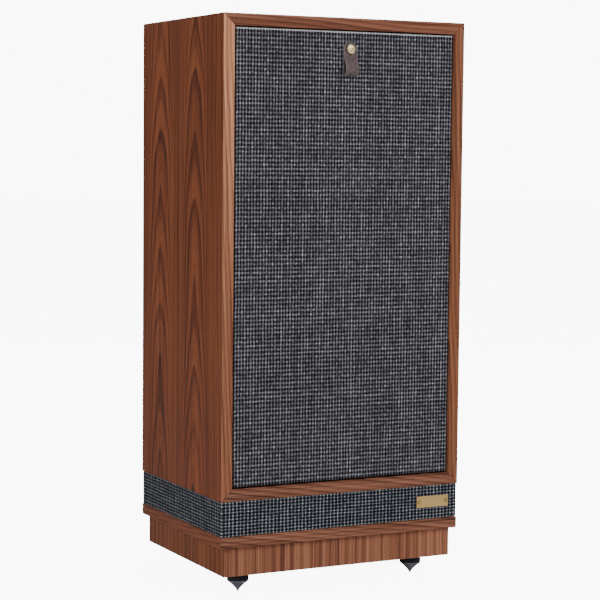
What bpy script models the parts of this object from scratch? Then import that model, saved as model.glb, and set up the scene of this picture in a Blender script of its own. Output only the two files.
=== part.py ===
"""Floorstanding loudspeaker: a walnut cabinet with a coaxial 12-inch driver behind a pull-off grille,
standing on a cloth-wrapped port chamber, a base plate, a plinth and four spike feet.

Units are metres. X runs to the right, Y to the back and Z up. The origin is on the floor under the
middle of the cabinet. GAP is the clearance that touching pieces keep.
"""

import math

import bmesh
import bpy
from mathutils import Matrix

# Driving dimensions of the whole
WIDTH = 0.525
DEPTH = 0.395
HEIGHT = 1.114
GAP = 0.0003

# Levels, from the floor up
PLINTH_BOTTOM = 0.043
BASE_PLATE_BOTTOM = 0.100
BAND_BOTTOM = 0.123
CABINET_BOTTOM = 0.191

# Cabinet
PANEL = 0.022
FRAME_WIDTH = 0.0228
FRAME_DEPTH = 0.0237
BAFFLE_THICKNESS = 0.022
BACK_THICKNESS = 0.018
BACK_RECESS = 0.0015
BRACE_Z = 0.600
BRACE_THICKNESS = 0.018

# Band, base plate and plinth
BAND_RECESS = 0.001
BAND_CLOTH = 0.0020
BAND_CORNER = 0.006
BAND_WALL = 0.018
PLINTH_INSET = 0.0115
PLINTH_WALL = 0.018
PLINTH_BOARD = 0.022
BASE_PLATE_CHAMFER = 0.0015

# Port
PORT_RADIUS = 0.045
PORT_WALL = 0.003
PORT_TOP = 0.420
DIFFUSER_RADIUS = 0.055
DIFFUSER_HEIGHT = 0.058

# Feet
FOOT_INSET = 0.068
BACK_FOOT_INSET = 0.100
FOOT_RADIUS = 0.0213
FOOT_CONE = 0.022
FOOT_TIP = 0.0015
FOOT_STUD = 0.005
FOOT_STUD_LENGTH = 0.018

# Grille and pull tab
GRILLE_GAP = 0.003
GRILLE_RECESS = 0.0015
GRILLE_CLOTH = 0.0012
GRILLE_BAR = 0.026
GRILLE_TOP_BAR = 0.055
GRILLE_CROSS_BAR = 0.030
STUD_X = 0.0045
STUD_Z = 1.054
STUD_RADIUS = 0.0103
STUD_NECK = 0.003
TAB_WIDTH = 0.028
TAB_LEATHER = 0.0022
TAB_TOP = 0.0140
TAB_HINGE_DROP = 0.0155
TAB_DROP = 0.0536
TAB_BULGE = 0.0150

# Driver
DRIVER_Z = 0.835
FLANGE_RADIUS = 0.1575
FLANGE_THICKNESS = 0.006
BASKET_HOLE = 0.1465
LEDGE_RADIUS = 0.1385
CONE_RADIUS = 0.1213
ROLL_RADIUS = 0.0082
SURROUND_SHEET = 0.0012
COIL_RADIUS = 0.0286
COIL_BORE = 0.0270
ARM_COUNT = 6

# Controls, terminals and badge
CONTROL_Z = 0.460
CONTROL_SIZE = (0.200, 0.062, 0.003)
KNOB_SPACING = 0.110
KNOB_RADIUS = 0.015
KNOB_HEIGHT = 0.006
SHAFT_RADIUS = 0.003
TERMINAL_Z = 0.300
TERMINAL_SIZE = (0.130, 0.100, 0.004)
TERMINAL_HOLE = (0.106, 0.076)
POST_SPACING = (0.060, 0.044)
POST_RADIUS = 0.0085
BADGE_X = 0.2045
BADGE_Z = 0.1582
BADGE_SIZE = (0.073, 0.0232, 0.0016)
BADGE_SCREW = 0.0026
BADGE_SCREW_INSET = 0.0055

# Worked out from the above
FRONT = -DEPTH / 2
BACK = DEPTH / 2
BAFFLE_FRONT = FRONT + FRAME_DEPTH + GAP
INNER_HALF_WIDTH = WIDTH / 2 - PANEL
BAND_FRONT = FRONT + BAND_RECESS
GRILLE_WIDTH = WIDTH - 2 * (FRAME_WIDTH + GRILLE_GAP)
GRILLE_BOTTOM = CABINET_BOTTOM + FRAME_WIDTH + GRILLE_GAP
GRILLE_TOP = HEIGHT - FRAME_WIDTH - GRILLE_GAP
CLOTH_FRONT = FRONT + GRILLE_RECESS
TERMINAL_BACK = BACK - BACK_RECESS + GAP + TERMINAL_SIZE[2]

FINE = 40
ROUND = 24
SMALL = 12

FACE_FRONT = (math.pi / 2, 0, 0)
FACE_BACK = (-math.pi / 2, 0, 0)

WALNUT = (0.20, 0.075, 0.040)
WALNUT_SOLID = (0.30, 0.130, 0.080)
CLOTH = (0.07, 0.07, 0.085)
BLACK = (0.015, 0.015, 0.016)
BOARD = (0.25, 0.17, 0.10)
STEEL = (0.45, 0.45, 0.47)
BRASS = (0.70, 0.52, 0.28)


# Scene, collections and materials


def clear_scene():
    for thing in list(bpy.data.objects):
        bpy.data.objects.remove(thing, do_unlink=True)


def new_collection(name):
    collection = bpy.data.collections.new(name)
    bpy.context.scene.collection.children.link(collection)
    return collection


clear_scene()
PARTS = new_collection("floorstanding_speaker")
CUTTERS = new_collection("cutters")


def finish(thing, colour, roughness=0.6, metallic=0.0):
    """Puts the object in the speaker's collection with a material of its own."""
    material = bpy.data.materials.new(thing.name)
    material.use_nodes = True
    shader = material.node_tree.nodes["Principled BSDF"]
    shader.inputs["Base Color"].default_value = (*colour, 1.0)
    shader.inputs["Roughness"].default_value = roughness
    shader.inputs["Metallic"].default_value = metallic
    thing.data.materials.append(material)
    PARTS.objects.link(thing)
    return thing


def as_cutter(thing):
    thing.hide_render = True
    thing.display_type = "WIRE"
    CUTTERS.objects.link(thing)
    return thing


def cut(thing, *cutters):
    for cutter in cutters:
        boolean = thing.modifiers.new("cut_" + cutter.name, "BOOLEAN")
        boolean.operation = "DIFFERENCE"
        boolean.solver = "EXACT"
        boolean.object = cutter


def chamfer(thing, width):
    bevel = thing.modifiers.new("edges", "BEVEL")
    bevel.width = width
    bevel.segments = 1
    bevel.limit_method = "ANGLE"


def empty_at(name, location):
    pivot = bpy.data.objects.new(name, None)
    pivot.location = location
    PARTS.objects.link(pivot)
    return pivot


def hang_on(pivot, *things):
    """Parents the things to the pivot and leaves them where they are."""
    for thing in things:
        thing.parent = pivot
        thing.matrix_parent_inverse = Matrix.Translation(pivot.location).inverted()


# Shapes


def box(name, low, high):
    """A box between two corners, with its origin in its middle."""
    mesh = bpy.data.meshes.new(name)
    shape = bmesh.new()
    bmesh.ops.create_cube(shape, size=1.0)
    bmesh.ops.scale(shape, vec=[b - a for a, b in zip(low, high)], verts=shape.verts)
    shape.to_mesh(mesh)
    shape.free()
    thing = bpy.data.objects.new(name, mesh)
    thing.location = [(a + b) / 2 for a, b in zip(low, high)]
    return thing


def cylinder(name, radius, length, location, rotation=(0, 0, 0), segments=FINE):
    """A cylinder along its own Z, centred on its location."""
    mesh = bpy.data.meshes.new(name)
    shape = bmesh.new()
    bmesh.ops.create_cone(
        shape, cap_ends=True, segments=segments, radius1=radius, radius2=radius, depth=length
    )
    shape.to_mesh(mesh)
    shape.free()
    thing = bpy.data.objects.new(name, mesh)
    thing.location = location
    thing.rotation_euler = rotation
    return thing


def turned(name, profile, location, rotation=(0, 0, 0), segments=FINE, ring=False):
    """Turns a profile of (radius, height) about Z. It runs down its outer side, and a ring's is closed."""
    mesh = bpy.data.meshes.new(name)
    count = len(profile)
    edges = [(i, i + 1) for i in range(count - 1)]
    if ring:
        edges.append((count - 1, 0))
    mesh.from_pydata([(radius, 0, height) for radius, height in profile], edges, [])
    thing = bpy.data.objects.new(name, mesh)
    thing.location = location
    thing.rotation_euler = rotation
    screw = thing.modifiers.new("turn", "SCREW")
    screw.steps = segments
    screw.render_steps = segments
    screw.use_merge_vertices = True
    screw.merge_threshold = 0.00001
    screw.use_smooth_shade = True
    return thing


def outline(name, points, thickness, location, rotation=(0, 0, 0)):
    """A flat plate with a polygon for its outline, as a mesh that can be cut and bevelled."""
    curve = bpy.data.curves.new(name + "_outline", "CURVE")
    curve.dimensions = "2D"
    curve.fill_mode = "BOTH"
    curve.extrude = thickness / 2
    spline = curve.splines.new("POLY")
    spline.points.add(len(points) - 1)
    for point, (x, y) in zip(spline.points, points):
        point.co = (x, y, 0, 1)
    spline.use_cyclic_u = True
    thing = as_mesh(name, curve)
    thing.location = location
    thing.rotation_euler = rotation
    return thing


def as_mesh(name, curve):
    """The welded mesh of a curve, in a new object. The curve isn't kept."""
    guide = bpy.data.objects.new(name + "_guide", curve)
    bpy.context.scene.collection.objects.link(guide)
    mesh = bpy.data.meshes.new_from_object(guide.evaluated_get(bpy.context.evaluated_depsgraph_get()))
    shape = bmesh.new()
    shape.from_mesh(mesh)
    bmesh.ops.remove_doubles(shape, verts=shape.verts, dist=0.00001)
    shape.to_mesh(mesh)
    shape.free()
    bpy.data.objects.remove(guide, do_unlink=True)
    bpy.data.curves.remove(curve)
    mesh.name = name
    mesh.materials.clear()
    return bpy.data.objects.new(name, mesh)


def rounded_rectangle(half_width, half_depth, radius, steps=4):
    """Points around a rectangle with round corners, anticlockwise."""
    points = []
    for quarter in range(4):
        side_x = 1 if quarter in (0, 3) else -1
        side_y = 1 if quarter in (0, 1) else -1
        for step in range(steps + 1):
            angle = math.pi / 2 * (quarter + step / steps)
            points.append(
                (
                    side_x * (half_width - radius) + radius * math.cos(angle),
                    side_y * (half_depth - radius) + radius * math.sin(angle),
                )
            )
    return points


def mitred_boards(names, size, board, depth, centre, rotation):
    """Four boards around a rectangle: the first two are its left and right, the others its far and near
    ends. Their ends meet at 45 degrees, with GAP between them."""
    half_width, half_height = size[0] / 2, size[1] / 2
    boards = []
    for index, name in enumerate(names):
        upright = index < 2
        sign = -1 if index in (0, 3) else 1
        reach, far = (half_height, half_width) if upright else (half_width, half_height)
        ease = 0 if upright else GAP * math.sqrt(2)
        corners = [
            (-(reach - ease), far),
            (-(reach - board - ease), far - board),
            (reach - board - ease, far - board),
            (reach - ease, far),
        ]
        if upright:
            points = [(sign * across, along) for along, across in corners]
        else:
            points = [(along, sign * across) for along, across in corners]
        boards.append(outline(name, points, depth, centre, rotation))
    return boards


# Cabinet


def make_carcass():
    depth = BACK - (FRONT + FRAME_DEPTH + GAP)
    centre = (0, BACK - depth / 2, (CABINET_BOTTOM + HEIGHT) / 2)
    size = (WIDTH, HEIGHT - CABINET_BOTTOM)
    names = ("side_panel_left", "side_panel_right", "top_panel", "bottom_panel")
    panels = mitred_boards(names, size, PANEL, depth, centre, FACE_FRONT)
    for panel in panels:
        finish(panel, WALNUT, 0.35)
    port_hole = cylinder("port_hole", PORT_RADIUS + PORT_WALL + GAP, 0.1, (0, 0, CABINET_BOTTOM))
    cut(panels[3], as_cutter(port_hole))


def make_front_frame():
    depth = FRAME_DEPTH
    centre = (0, FRONT + depth / 2, (CABINET_BOTTOM + HEIGHT) / 2)
    size = (WIDTH, HEIGHT - CABINET_BOTTOM)
    names = ("frame_stile_left", "frame_stile_right", "frame_rail_top", "frame_rail_bottom")
    for board in mitred_boards(names, size, FRAME_WIDTH, depth, centre, FACE_FRONT):
        finish(board, WALNUT_SOLID, 0.4)


def make_baffle():
    bottom = CABINET_BOTTOM + PANEL + GAP
    baffle = box(
        "front_baffle",
        (-INNER_HALF_WIDTH + GAP, BAFFLE_FRONT, bottom),
        (INNER_HALF_WIDTH - GAP, BAFFLE_FRONT + BAFFLE_THICKNESS, HEIGHT - PANEL - GAP),
    )
    finish(baffle, BLACK, 0.7)
    hole = cylinder(
        "driver_hole", BASKET_HOLE + 0.001, 0.1, (0, BAFFLE_FRONT, DRIVER_Z), FACE_FRONT, FINE
    )
    rebate_depth = FLANGE_THICKNESS + GAP
    rebate = cylinder(
        "flange_rebate",
        FLANGE_RADIUS + GAP * 2,
        2 * rebate_depth,
        (0, BAFFLE_FRONT, DRIVER_Z),
        FACE_FRONT,
        FINE,
    )
    cut(baffle, as_cutter(hole), as_cutter(rebate))
    for side in (-1, 1):
        shaft_hole = cylinder(
            f"shaft_hole_{side}",
            SHAFT_RADIUS + 0.0015,
            0.1,
            (side * KNOB_SPACING / 2, BAFFLE_FRONT, CONTROL_Z),
            FACE_FRONT,
            SMALL,
        )
        cut(baffle, as_cutter(shaft_hole))


def make_back_panel():
    panel = box(
        "back_panel",
        (-INNER_HALF_WIDTH + GAP, BACK - BACK_RECESS - BACK_THICKNESS, CABINET_BOTTOM + PANEL + GAP),
        (INNER_HALF_WIDTH - GAP, BACK - BACK_RECESS, HEIGHT - PANEL - GAP),
    )
    finish(panel, WALNUT, 0.4)
    half_width, half_height = TERMINAL_HOLE[0] / 2, TERMINAL_HOLE[1] / 2
    opening = box(
        "terminal_opening",
        (-half_width, BACK - 0.05, TERMINAL_Z - half_height),
        (half_width, BACK + 0.05, TERMINAL_Z + half_height),
    )
    cut(panel, as_cutter(opening))


def make_brace_and_wadding():
    front = BAFFLE_FRONT + BAFFLE_THICKNESS + GAP
    back = BACK - BACK_RECESS - BACK_THICKNESS - GAP
    half = INNER_HALF_WIDTH - GAP
    brace = box(
        "window_brace",
        (-half, front, BRACE_Z - BRACE_THICKNESS / 2),
        (half, back, BRACE_Z + BRACE_THICKNESS / 2),
    )
    finish(brace, BOARD, 0.8)
    rim = 0.07
    window = box(
        "brace_window",
        (-half + rim, front + rim, BRACE_Z - BRACE_THICKNESS),
        (half - rim, back - rim, BRACE_Z + BRACE_THICKNESS),
    )
    cut(brace, as_cutter(window))
    thickness, margin = 0.025, 0.01
    wadding = box(
        "wadding",
        (-half + margin, back - thickness, BRACE_Z + BRACE_THICKNESS / 2 + margin),
        (half - margin, back, HEIGHT - PANEL - margin),
    )
    finish(wadding, (0.55, 0.55, 0.53), 0.95)


# Port chamber, base plate, plinth and feet


def make_band():
    half_width, half_depth = WIDTH / 2 - BAND_RECESS, DEPTH / 2 - BAND_RECESS
    height = CABINET_BOTTOM - BAND_BOTTOM - 2 * GAP
    middle = (0, 0, (CABINET_BOTTOM + BAND_BOTTOM) / 2)
    cloth = outline(
        "band_cloth", rounded_rectangle(half_width, half_depth, BAND_CORNER), height, middle
    )
    finish(cloth, CLOTH, 0.9)
    inner = outline(
        "band_cloth_inside",
        rounded_rectangle(half_width - BAND_CLOTH, half_depth - BAND_CLOTH, BAND_CORNER - BAND_CLOTH),
        2 * height,
        middle,
    )
    cut(cloth, as_cutter(inner))

    skin = BAND_CLOTH + GAP
    frame = outline(
        "chamber_frame",
        rounded_rectangle(half_width - skin, half_depth - skin, BAND_CORNER - skin),
        height,
        middle,
    )
    finish(frame, BLACK, 0.8)
    chamber_x, chamber_y = half_width - skin - BAND_WALL, half_depth - skin - BAND_WALL
    rail = 0.012
    low, high = BAND_BOTTOM + rail, CABINET_BOTTOM - rail
    chamber = box("chamber", (-chamber_x, -chamber_y, 0.1), (chamber_x, chamber_y, 0.3))
    post = 0.045
    slot_x = box("slot_x", (-chamber_x + post, -0.3, low), (chamber_x - post, 0.3, high))
    slot_y = box("slot_y", (-0.4, -chamber_y + post, low), (0.4, chamber_y - post, high))
    cut(frame, as_cutter(chamber), as_cutter(slot_x), as_cutter(slot_y))


def make_port():
    outer = PORT_RADIUS + PORT_WALL
    flange_low = CABINET_BOTTOM + PANEL + GAP
    flange_high = flange_low + 0.004
    flare = 0.006
    profile = [
        (PORT_RADIUS + flare, PORT_TOP),
        (outer + flare, PORT_TOP - 0.002),
        (outer, PORT_TOP - 2 * flare),
        (outer, flange_high),
        (outer + 0.014, flange_high),
        (outer + 0.014, flange_low),
        (outer, flange_low),
        (outer, CABINET_BOTTOM + 0.0005),
        (PORT_RADIUS, CABINET_BOTTOM + 0.0005),
        (PORT_RADIUS, PORT_TOP - 2 * flare),
    ]
    finish(turned("port_tube", profile, (0, 0, 0), segments=ROUND, ring=True), BLACK, 0.5)

    steps = 5
    base = BAND_BOTTOM + GAP
    flank = []
    for step in range(steps + 1):
        share = step / steps
        flank.append((0.004 + (DIFFUSER_RADIUS - 0.004) * share**2.2, DIFFUSER_HEIGHT * (1 - share)))
    profile = [(0, DIFFUSER_HEIGHT + 0.002)] + flank[:-1] + [(DIFFUSER_RADIUS, 0.002)]
    profile += [(DIFFUSER_RADIUS, 0), (0, 0)]
    finish(turned("port_diffuser", profile, (0, 0, base), segments=ROUND), BLACK, 0.5)


def make_base_plate():
    plate = box(
        "base_plate",
        (-WIDTH / 2, FRONT, BASE_PLATE_BOTTOM),
        (WIDTH / 2, BACK, BAND_BOTTOM - GAP),
    )
    finish(plate, WALNUT_SOLID, 0.4)
    chamfer(plate, BASE_PLATE_CHAMFER)


def make_plinth():
    height = BASE_PLATE_BOTTOM - GAP - PLINTH_BOTTOM
    size = (WIDTH - 2 * PLINTH_INSET, DEPTH - 2 * PLINTH_INSET)
    names = ("plinth_left", "plinth_right", "plinth_back", "plinth_front")
    centre = (0, 0, PLINTH_BOTTOM + height / 2)
    for wall in mitred_boards(names, size, PLINTH_WALL, height, centre, (0, 0, 0)):
        finish(wall, WALNUT_SOLID, 0.45)

    half_width = size[0] / 2 - PLINTH_WALL - GAP
    half_depth = size[1] / 2 - PLINTH_WALL - GAP
    board = box(
        "plinth_board",
        (-half_width, -half_depth, PLINTH_BOTTOM),
        (half_width, half_depth, PLINTH_BOTTOM + PLINTH_BOARD),
    )
    finish(board, BOARD, 0.8)
    for name, x, y in foot_places():
        hole = cylinder(
            name + "_hole", FOOT_STUD + GAP, 0.1, (x, y, PLINTH_BOTTOM), segments=SMALL
        )
        cut(board, as_cutter(hole))


def foot_places():
    """The back feet stand further in from the sides than the front ones."""
    x, back_x = WIDTH / 2 - FOOT_INSET, WIDTH / 2 - BACK_FOOT_INSET
    y = DEPTH / 2 - FOOT_INSET
    return (
        ("foot_front_left", -x, -y),
        ("foot_front_right", x, -y),
        ("foot_back_left", -back_x, y),
        ("foot_back_right", back_x, y),
    )


def make_feet():
    """Each foot's origin is on its thread's axis, at its tip."""
    top = PLINTH_BOTTOM - GAP
    groove = FOOT_CONE + 0.0085
    steps = 4
    cone = []
    for step in range(steps + 1):
        share = step / steps
        radius = FOOT_TIP + (FOOT_RADIUS - 0.0008 - FOOT_TIP) * share**1.45
        cone.append((radius, (FOOT_CONE - 0.0010) * share))
    profile = [
        (0, top + FOOT_STUD_LENGTH),
        (FOOT_STUD, top + FOOT_STUD_LENGTH),
        (FOOT_STUD, top),
        (FOOT_RADIUS - 0.0008, top),
        (FOOT_RADIUS, top - 0.0008),
        (FOOT_RADIUS, groove + 0.0006),
        (FOOT_RADIUS - 0.0012, groove),
        (FOOT_RADIUS, groove - 0.0006),
        (FOOT_RADIUS, FOOT_CONE),
        *reversed(cone),
        (0, 0),
    ]
    for name, x, y in foot_places():
        finish(turned(name, profile, (x, y, 0), segments=16), (0.10, 0.10, 0.11), 0.35, 1.0)


# Grille and pull tab


def make_grille(pivot):
    half = GRILLE_WIDTH / 2
    cloth = box(
        "grille_cloth",
        (-half, CLOTH_FRONT, GRILLE_BOTTOM),
        (half, CLOTH_FRONT + GRILLE_CLOTH, GRILLE_TOP),
    )
    finish(cloth, CLOTH, 0.9)

    skin = GRILLE_CLOTH + GAP
    front = CLOTH_FRONT + skin
    frame = box(
        "grille_frame",
        (-half + skin, front, GRILLE_BOTTOM + skin),
        (half - skin, BAFFLE_FRONT - 2 * GAP, GRILLE_TOP - skin),
    )
    finish(frame, BLACK, 0.8)
    cross_low = BRACE_Z - GRILLE_CROSS_BAR / 2
    inside = half - GRILLE_BAR
    lower = box(
        "grille_window_lower",
        (-inside, FRONT - 0.1, GRILLE_BOTTOM + GRILLE_BAR),
        (inside, FRONT + 0.1, cross_low),
    )
    upper = box(
        "grille_window_upper",
        (-inside, FRONT - 0.1, cross_low + GRILLE_CROSS_BAR),
        (inside, FRONT + 0.1, GRILLE_TOP - GRILLE_TOP_BAR),
    )
    neck_hole = cylinder(
        "stud_hole", STUD_NECK + GAP, 0.030, (STUD_X, CLOTH_FRONT, STUD_Z), FACE_FRONT, SMALL
    )
    as_cutter(neck_hole)
    cut(frame, as_cutter(lower), as_cutter(upper), neck_hole)
    cut(cloth, neck_hole)
    hang_on(pivot, cloth, frame)
    return neck_hole


def make_pull_tab(grille_pivot, neck_hole):
    """The loop hangs from a crease just under the stud, where the leather bends."""
    back = CLOTH_FRONT - GAP
    layers = 2 * TAB_LEATHER
    hinge_z = STUD_Z - TAB_HINGE_DROP
    bend_radius = TAB_LEATHER / 2 + 0.0001
    hinge_y = back - bend_radius - TAB_LEATHER / 2
    root_low = hinge_z + bend_radius + TAB_LEATHER / 2 + GAP - STUD_Z

    corner, half = 0.006, TAB_WIDTH / 2
    points = [(-half, root_low), (half, root_low)]
    for centre, start in ((half - corner, 0), (-half + corner, math.pi / 2)):
        for step in range(5):
            angle = start + math.pi / 8 * step
            across = centre + corner * math.cos(angle)
            points.append((across, TAB_TOP - corner + corner * math.sin(angle)))
    place = (STUD_X, back - layers / 2, STUD_Z)
    root = outline("pull_tab_root", points, layers, place, FACE_FRONT)
    finish(root, (0.16, 0.12, 0.12), 0.7)
    cut(root, neck_hole)

    front = back - layers - GAP
    dome = STUD_RADIUS - 0.0015
    profile = [
        (0, 0.0042),
        (dome * 0.45, 0.0040),
        (dome * 0.80, 0.0032),
        (dome, 0.0020),
        (STUD_RADIUS, 0.0016),
        (STUD_RADIUS, 0),
        (STUD_NECK, 0),
        (STUD_NECK, -layers - GRILLE_CLOTH - 0.0100),
        (0, -layers - GRILLE_CLOTH - 0.0100),
    ]
    stud = turned("pull_tab_stud", profile, (STUD_X, front, STUD_Z), FACE_FRONT, 16)
    finish(stud, BRASS, 0.3, 1.0)
    hang_on(grille_pivot, root, stud)

    drop = TAB_DROP - TAB_HINGE_DROP - TAB_LEATHER / 2
    bulge = TAB_BULGE - TAB_LEATHER
    round_off = 0.55 * bend_radius
    # Each point has its place, the way the strap runs there, and how far its two handles reach.
    middle = [
        ((0, bend_radius), (1, 0), round_off, round_off),
        ((bend_radius, 0), (0, -1), round_off, 0.006),
        ((bend_radius, -0.60 * drop), (0, -1), 0.006, 0.008),
        ((-0.42 * bulge, -drop), (-1, 0), 0.0045, 0.0035),
        ((-bulge, -0.70 * drop), (0, 1), 0.006, 0.006),
        ((-0.45 * bulge, -0.25 * drop), (0.35, 0.94), 0.006, 0.004),
        ((-bend_radius, 0), (0, 1), 0.003, round_off),
    ]
    curve = bpy.data.curves.new("tab_path", "CURVE")
    curve.dimensions = "3D"
    curve.resolution_u = 6
    curve.extrude = TAB_WIDTH / 2
    spline = curve.splines.new("BEZIER")
    spline.bezier_points.add(len(middle) - 1)
    for point, (place, way, reach_in, reach_out) in zip(spline.bezier_points, middle):
        point.handle_left_type = point.handle_right_type = "FREE"
        point.co = (*place, 0)
        point.handle_left = (place[0] - way[0] * reach_in, place[1] - way[1] * reach_in, 0)
        point.handle_right = (place[0] + way[0] * reach_out, place[1] + way[1] * reach_out, 0)
    spline.use_cyclic_u = True
    loop = as_mesh("pull_tab_loop", curve)
    loop.location = (STUD_X, hinge_y, hinge_z)
    loop.rotation_euler = (math.pi / 2, 0, math.pi / 2)
    finish(loop, (0.16, 0.12, 0.12), 0.7)
    solidify = loop.modifiers.new("leather", "SOLIDIFY")
    solidify.thickness = TAB_LEATHER
    solidify.offset = 0
    solidify.use_even_offset = True


# Driver, with heights measured forward from the baffle's front face


def driver_part(name, profile, colour, roughness, metallic=0.0, segments=FINE, ring=True):
    place = (0, BAFFLE_FRONT, DRIVER_Z)
    part = turned(name, profile, place, FACE_FRONT, segments, ring)
    return finish(part, colour, roughness, metallic)


def make_basket():
    back = -0.1102
    wall = 0.003
    shoulder = BASKET_HOLE - 0.0015
    profile = [
        (FLANGE_RADIUS, 0),
        (FLANGE_RADIUS, -FLANGE_THICKNESS),
        (shoulder, -FLANGE_THICKNESS),
        (shoulder, -0.0200),
        (0.0850, -0.0780),
        (0.0780, -0.0860),
        (0.0780, back),
        (0.0480, back),
        (0.0480, back + 0.004),
        (0.0750, back + 0.004),
        (0.0750, -0.0960),
        (0.0670, -0.0960),
        (0.0670, -0.0930),
        (0.0750, -0.0930),
        (0.0750, -0.0850),
        (0.0850 - wall, -0.0750),
        (LEDGE_RADIUS, -0.0170),
        (LEDGE_RADIUS, -0.0035),
        (BASKET_HOLE, -0.0035),
        (BASKET_HOLE, 0),
    ]
    basket = driver_part("driver_basket", profile, (0.03, 0.03, 0.032), 0.45, 0.3)
    for index in range(ARM_COUNT):
        turn = 2 * math.pi * (index + 0.5) / ARM_COUNT
        window = box(f"basket_window_{index}", (-0.030, -0.0253, -0.036), (0.030, 0.0253, 0.036))
        window.location = (
            0.130 * math.sin(turn),
            BAFFLE_FRONT + 0.052,
            DRIVER_Z + 0.130 * math.cos(turn),
        )
        window.rotation_euler = (0, turn, 0)
        cut(basket, as_cutter(window))


def make_surround():
    rim = BASKET_HOLE - 0.0005
    low = -0.0035 + GAP
    sheet = SURROUND_SHEET
    middle = (LEDGE_RADIUS + CONE_RADIUS) / 2
    outer = [(rim, low + sheet), (rim, low)]
    steps = 6
    under, over = [], []
    for step in range(steps + 1):
        angle = math.pi * step / steps
        under.append(
            (
                middle + (ROLL_RADIUS - sheet) * math.cos(angle),
                low + (ROLL_RADIUS - sheet) * math.sin(angle),
            )
        )
        over.append(
            (middle + ROLL_RADIUS * math.cos(angle), low + sheet + ROLL_RADIUS * math.sin(angle))
        )
    profile = outer + under + [(CONE_RADIUS + GAP, low), (CONE_RADIUS + GAP, low + sheet)]
    profile += list(reversed(over[:-1]))
    driver_part("driver_surround", profile, (0.02, 0.02, 0.02), 0.6)


def cone_height(radius, low=-0.0720, high=-0.0022):
    share = (radius - COIL_RADIUS) / (CONE_RADIUS - COIL_RADIUS)
    return low + (high - low) * share**0.9


def make_cone():
    steps = 4
    paper = 0.0013
    neck = COIL_RADIUS + GAP
    radii = [CONE_RADIUS - (CONE_RADIUS - neck) * step / steps for step in range(steps + 1)]
    under = [(radius, cone_height(radius) - paper) for radius in radii]
    over = [(radius, cone_height(radius)) for radius in reversed(radii)]
    driver_part("driver_cone", under + over, (0.05, 0.045, 0.04), 0.8)

    top, bottom = -0.0715, -0.1150
    former = [(COIL_RADIUS, top), (COIL_RADIUS, bottom), (COIL_BORE, bottom), (COIL_BORE, top)]
    driver_part("driver_voice_coil", former, (0.55, 0.28, 0.12), 0.4, 0.8, ROUND)


def make_spider():
    level, sheet, waves = -0.0925, 0.0008, 4
    inner, outer = COIL_RADIUS + GAP, 0.0740
    foot = 0.0668
    steps = waves * 2
    line = []
    for step in range(steps + 1):
        lift = 0.0034 if step % 2 else 0.0006
        line.append((foot + (inner - foot) * step / steps, level + lift))
    under = [(outer, level)] + [(foot + 0.0005, level)] + line
    over = [(radius, height + sheet) for radius, height in reversed(under)]
    driver_part("driver_spider", under + over, (0.50, 0.36, 0.16), 0.9, segments=ROUND)


def make_waveguide():
    wall = 0.0020
    inner = [
        (0.0125, -0.1480),
        (0.0140, -0.1300),
        (0.0165, -0.1100),
        (0.0200, -0.0880),
        (0.0240, -0.0680),
        (0.0250, -0.0610),
        (0.0310, -0.0500),
        (0.0410, -0.0380),
    ]
    outer = [(radius + wall, height - (0.0010 if radius > 0.03 else 0)) for radius, height in inner]
    profile = list(reversed(outer)) + inner
    driver_part("driver_waveguide", profile, (0.25, 0.25, 0.26), 0.3, 1.0, ROUND)


def make_motor():
    front_plate = (-0.1105, -0.1185)
    magnet = (front_plate[1] - GAP, front_plate[1] - GAP - 0.020)
    back_plate = (magnet[1] - GAP, magnet[1] - GAP - 0.010)
    gap_radius = COIL_RADIUS + 0.0007
    plain = {
        "driver_front_plate": (0.0760, gap_radius, *front_plate, STEEL, 0.35, 1.0),
        "driver_magnet": (0.0850, 0.0400, *magnet, (0.03, 0.03, 0.03), 0.6, 0.0),
    }
    for name, (outer, inner, high, low, colour, roughness, metallic) in plain.items():
        ring = [(outer, high), (outer, low), (inner, low), (inner, high)]
        driver_part(name, ring, colour, roughness, metallic)

    pole, bore, throat = COIL_BORE - 0.0007, 0.0190, 0.0156
    profile = [
        (pole, front_plate[0]),
        (pole, back_plate[0]),
        (0.0800, back_plate[0]),
        (0.0800, back_plate[1]),
        (throat, back_plate[1]),
        (throat, back_plate[0]),
        (bore, back_plate[0] + 0.006),
        (bore, front_plate[0]),
    ]
    driver_part("driver_back_plate", profile, STEEL, 0.35, 1.0)

    front = back_plate[1] - GAP
    outer, wall, deep = 0.0550, 0.004, 0.042
    radius, rise, sheet, rim = 0.0375, 0.0100, 0.0006, front - 0.0150
    clamp, clamp_half = radius + 0.0004, 0.0025
    profile = [
        (0, front - deep + wall),
        (outer - wall, front - deep + wall),
        (outer - wall, rim - clamp_half),
        (clamp, rim - clamp_half),
        (clamp, rim + clamp_half),
        (outer - wall, rim + clamp_half),
        (outer - wall, front),
        (outer, front),
        (outer, front - deep),
        (0, front - deep),
    ]
    driver_part("hf_housing", profile, (0.04, 0.04, 0.04), 0.5, 0.2, ROUND, ring=False)

    steps = 4
    dome = []
    for step in range(steps + 1):
        share = step / steps
        dome.append((radius * share, rim - rise * (1 - share**2)))
    profile = [(r, h + sheet) for r, h in dome] + list(reversed(dome))
    driver_part("hf_diaphragm", profile, (0.5, 0.5, 0.52), 0.3, 1.0, ROUND, ring=False)


# Controls, terminals, badge and crossover


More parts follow.
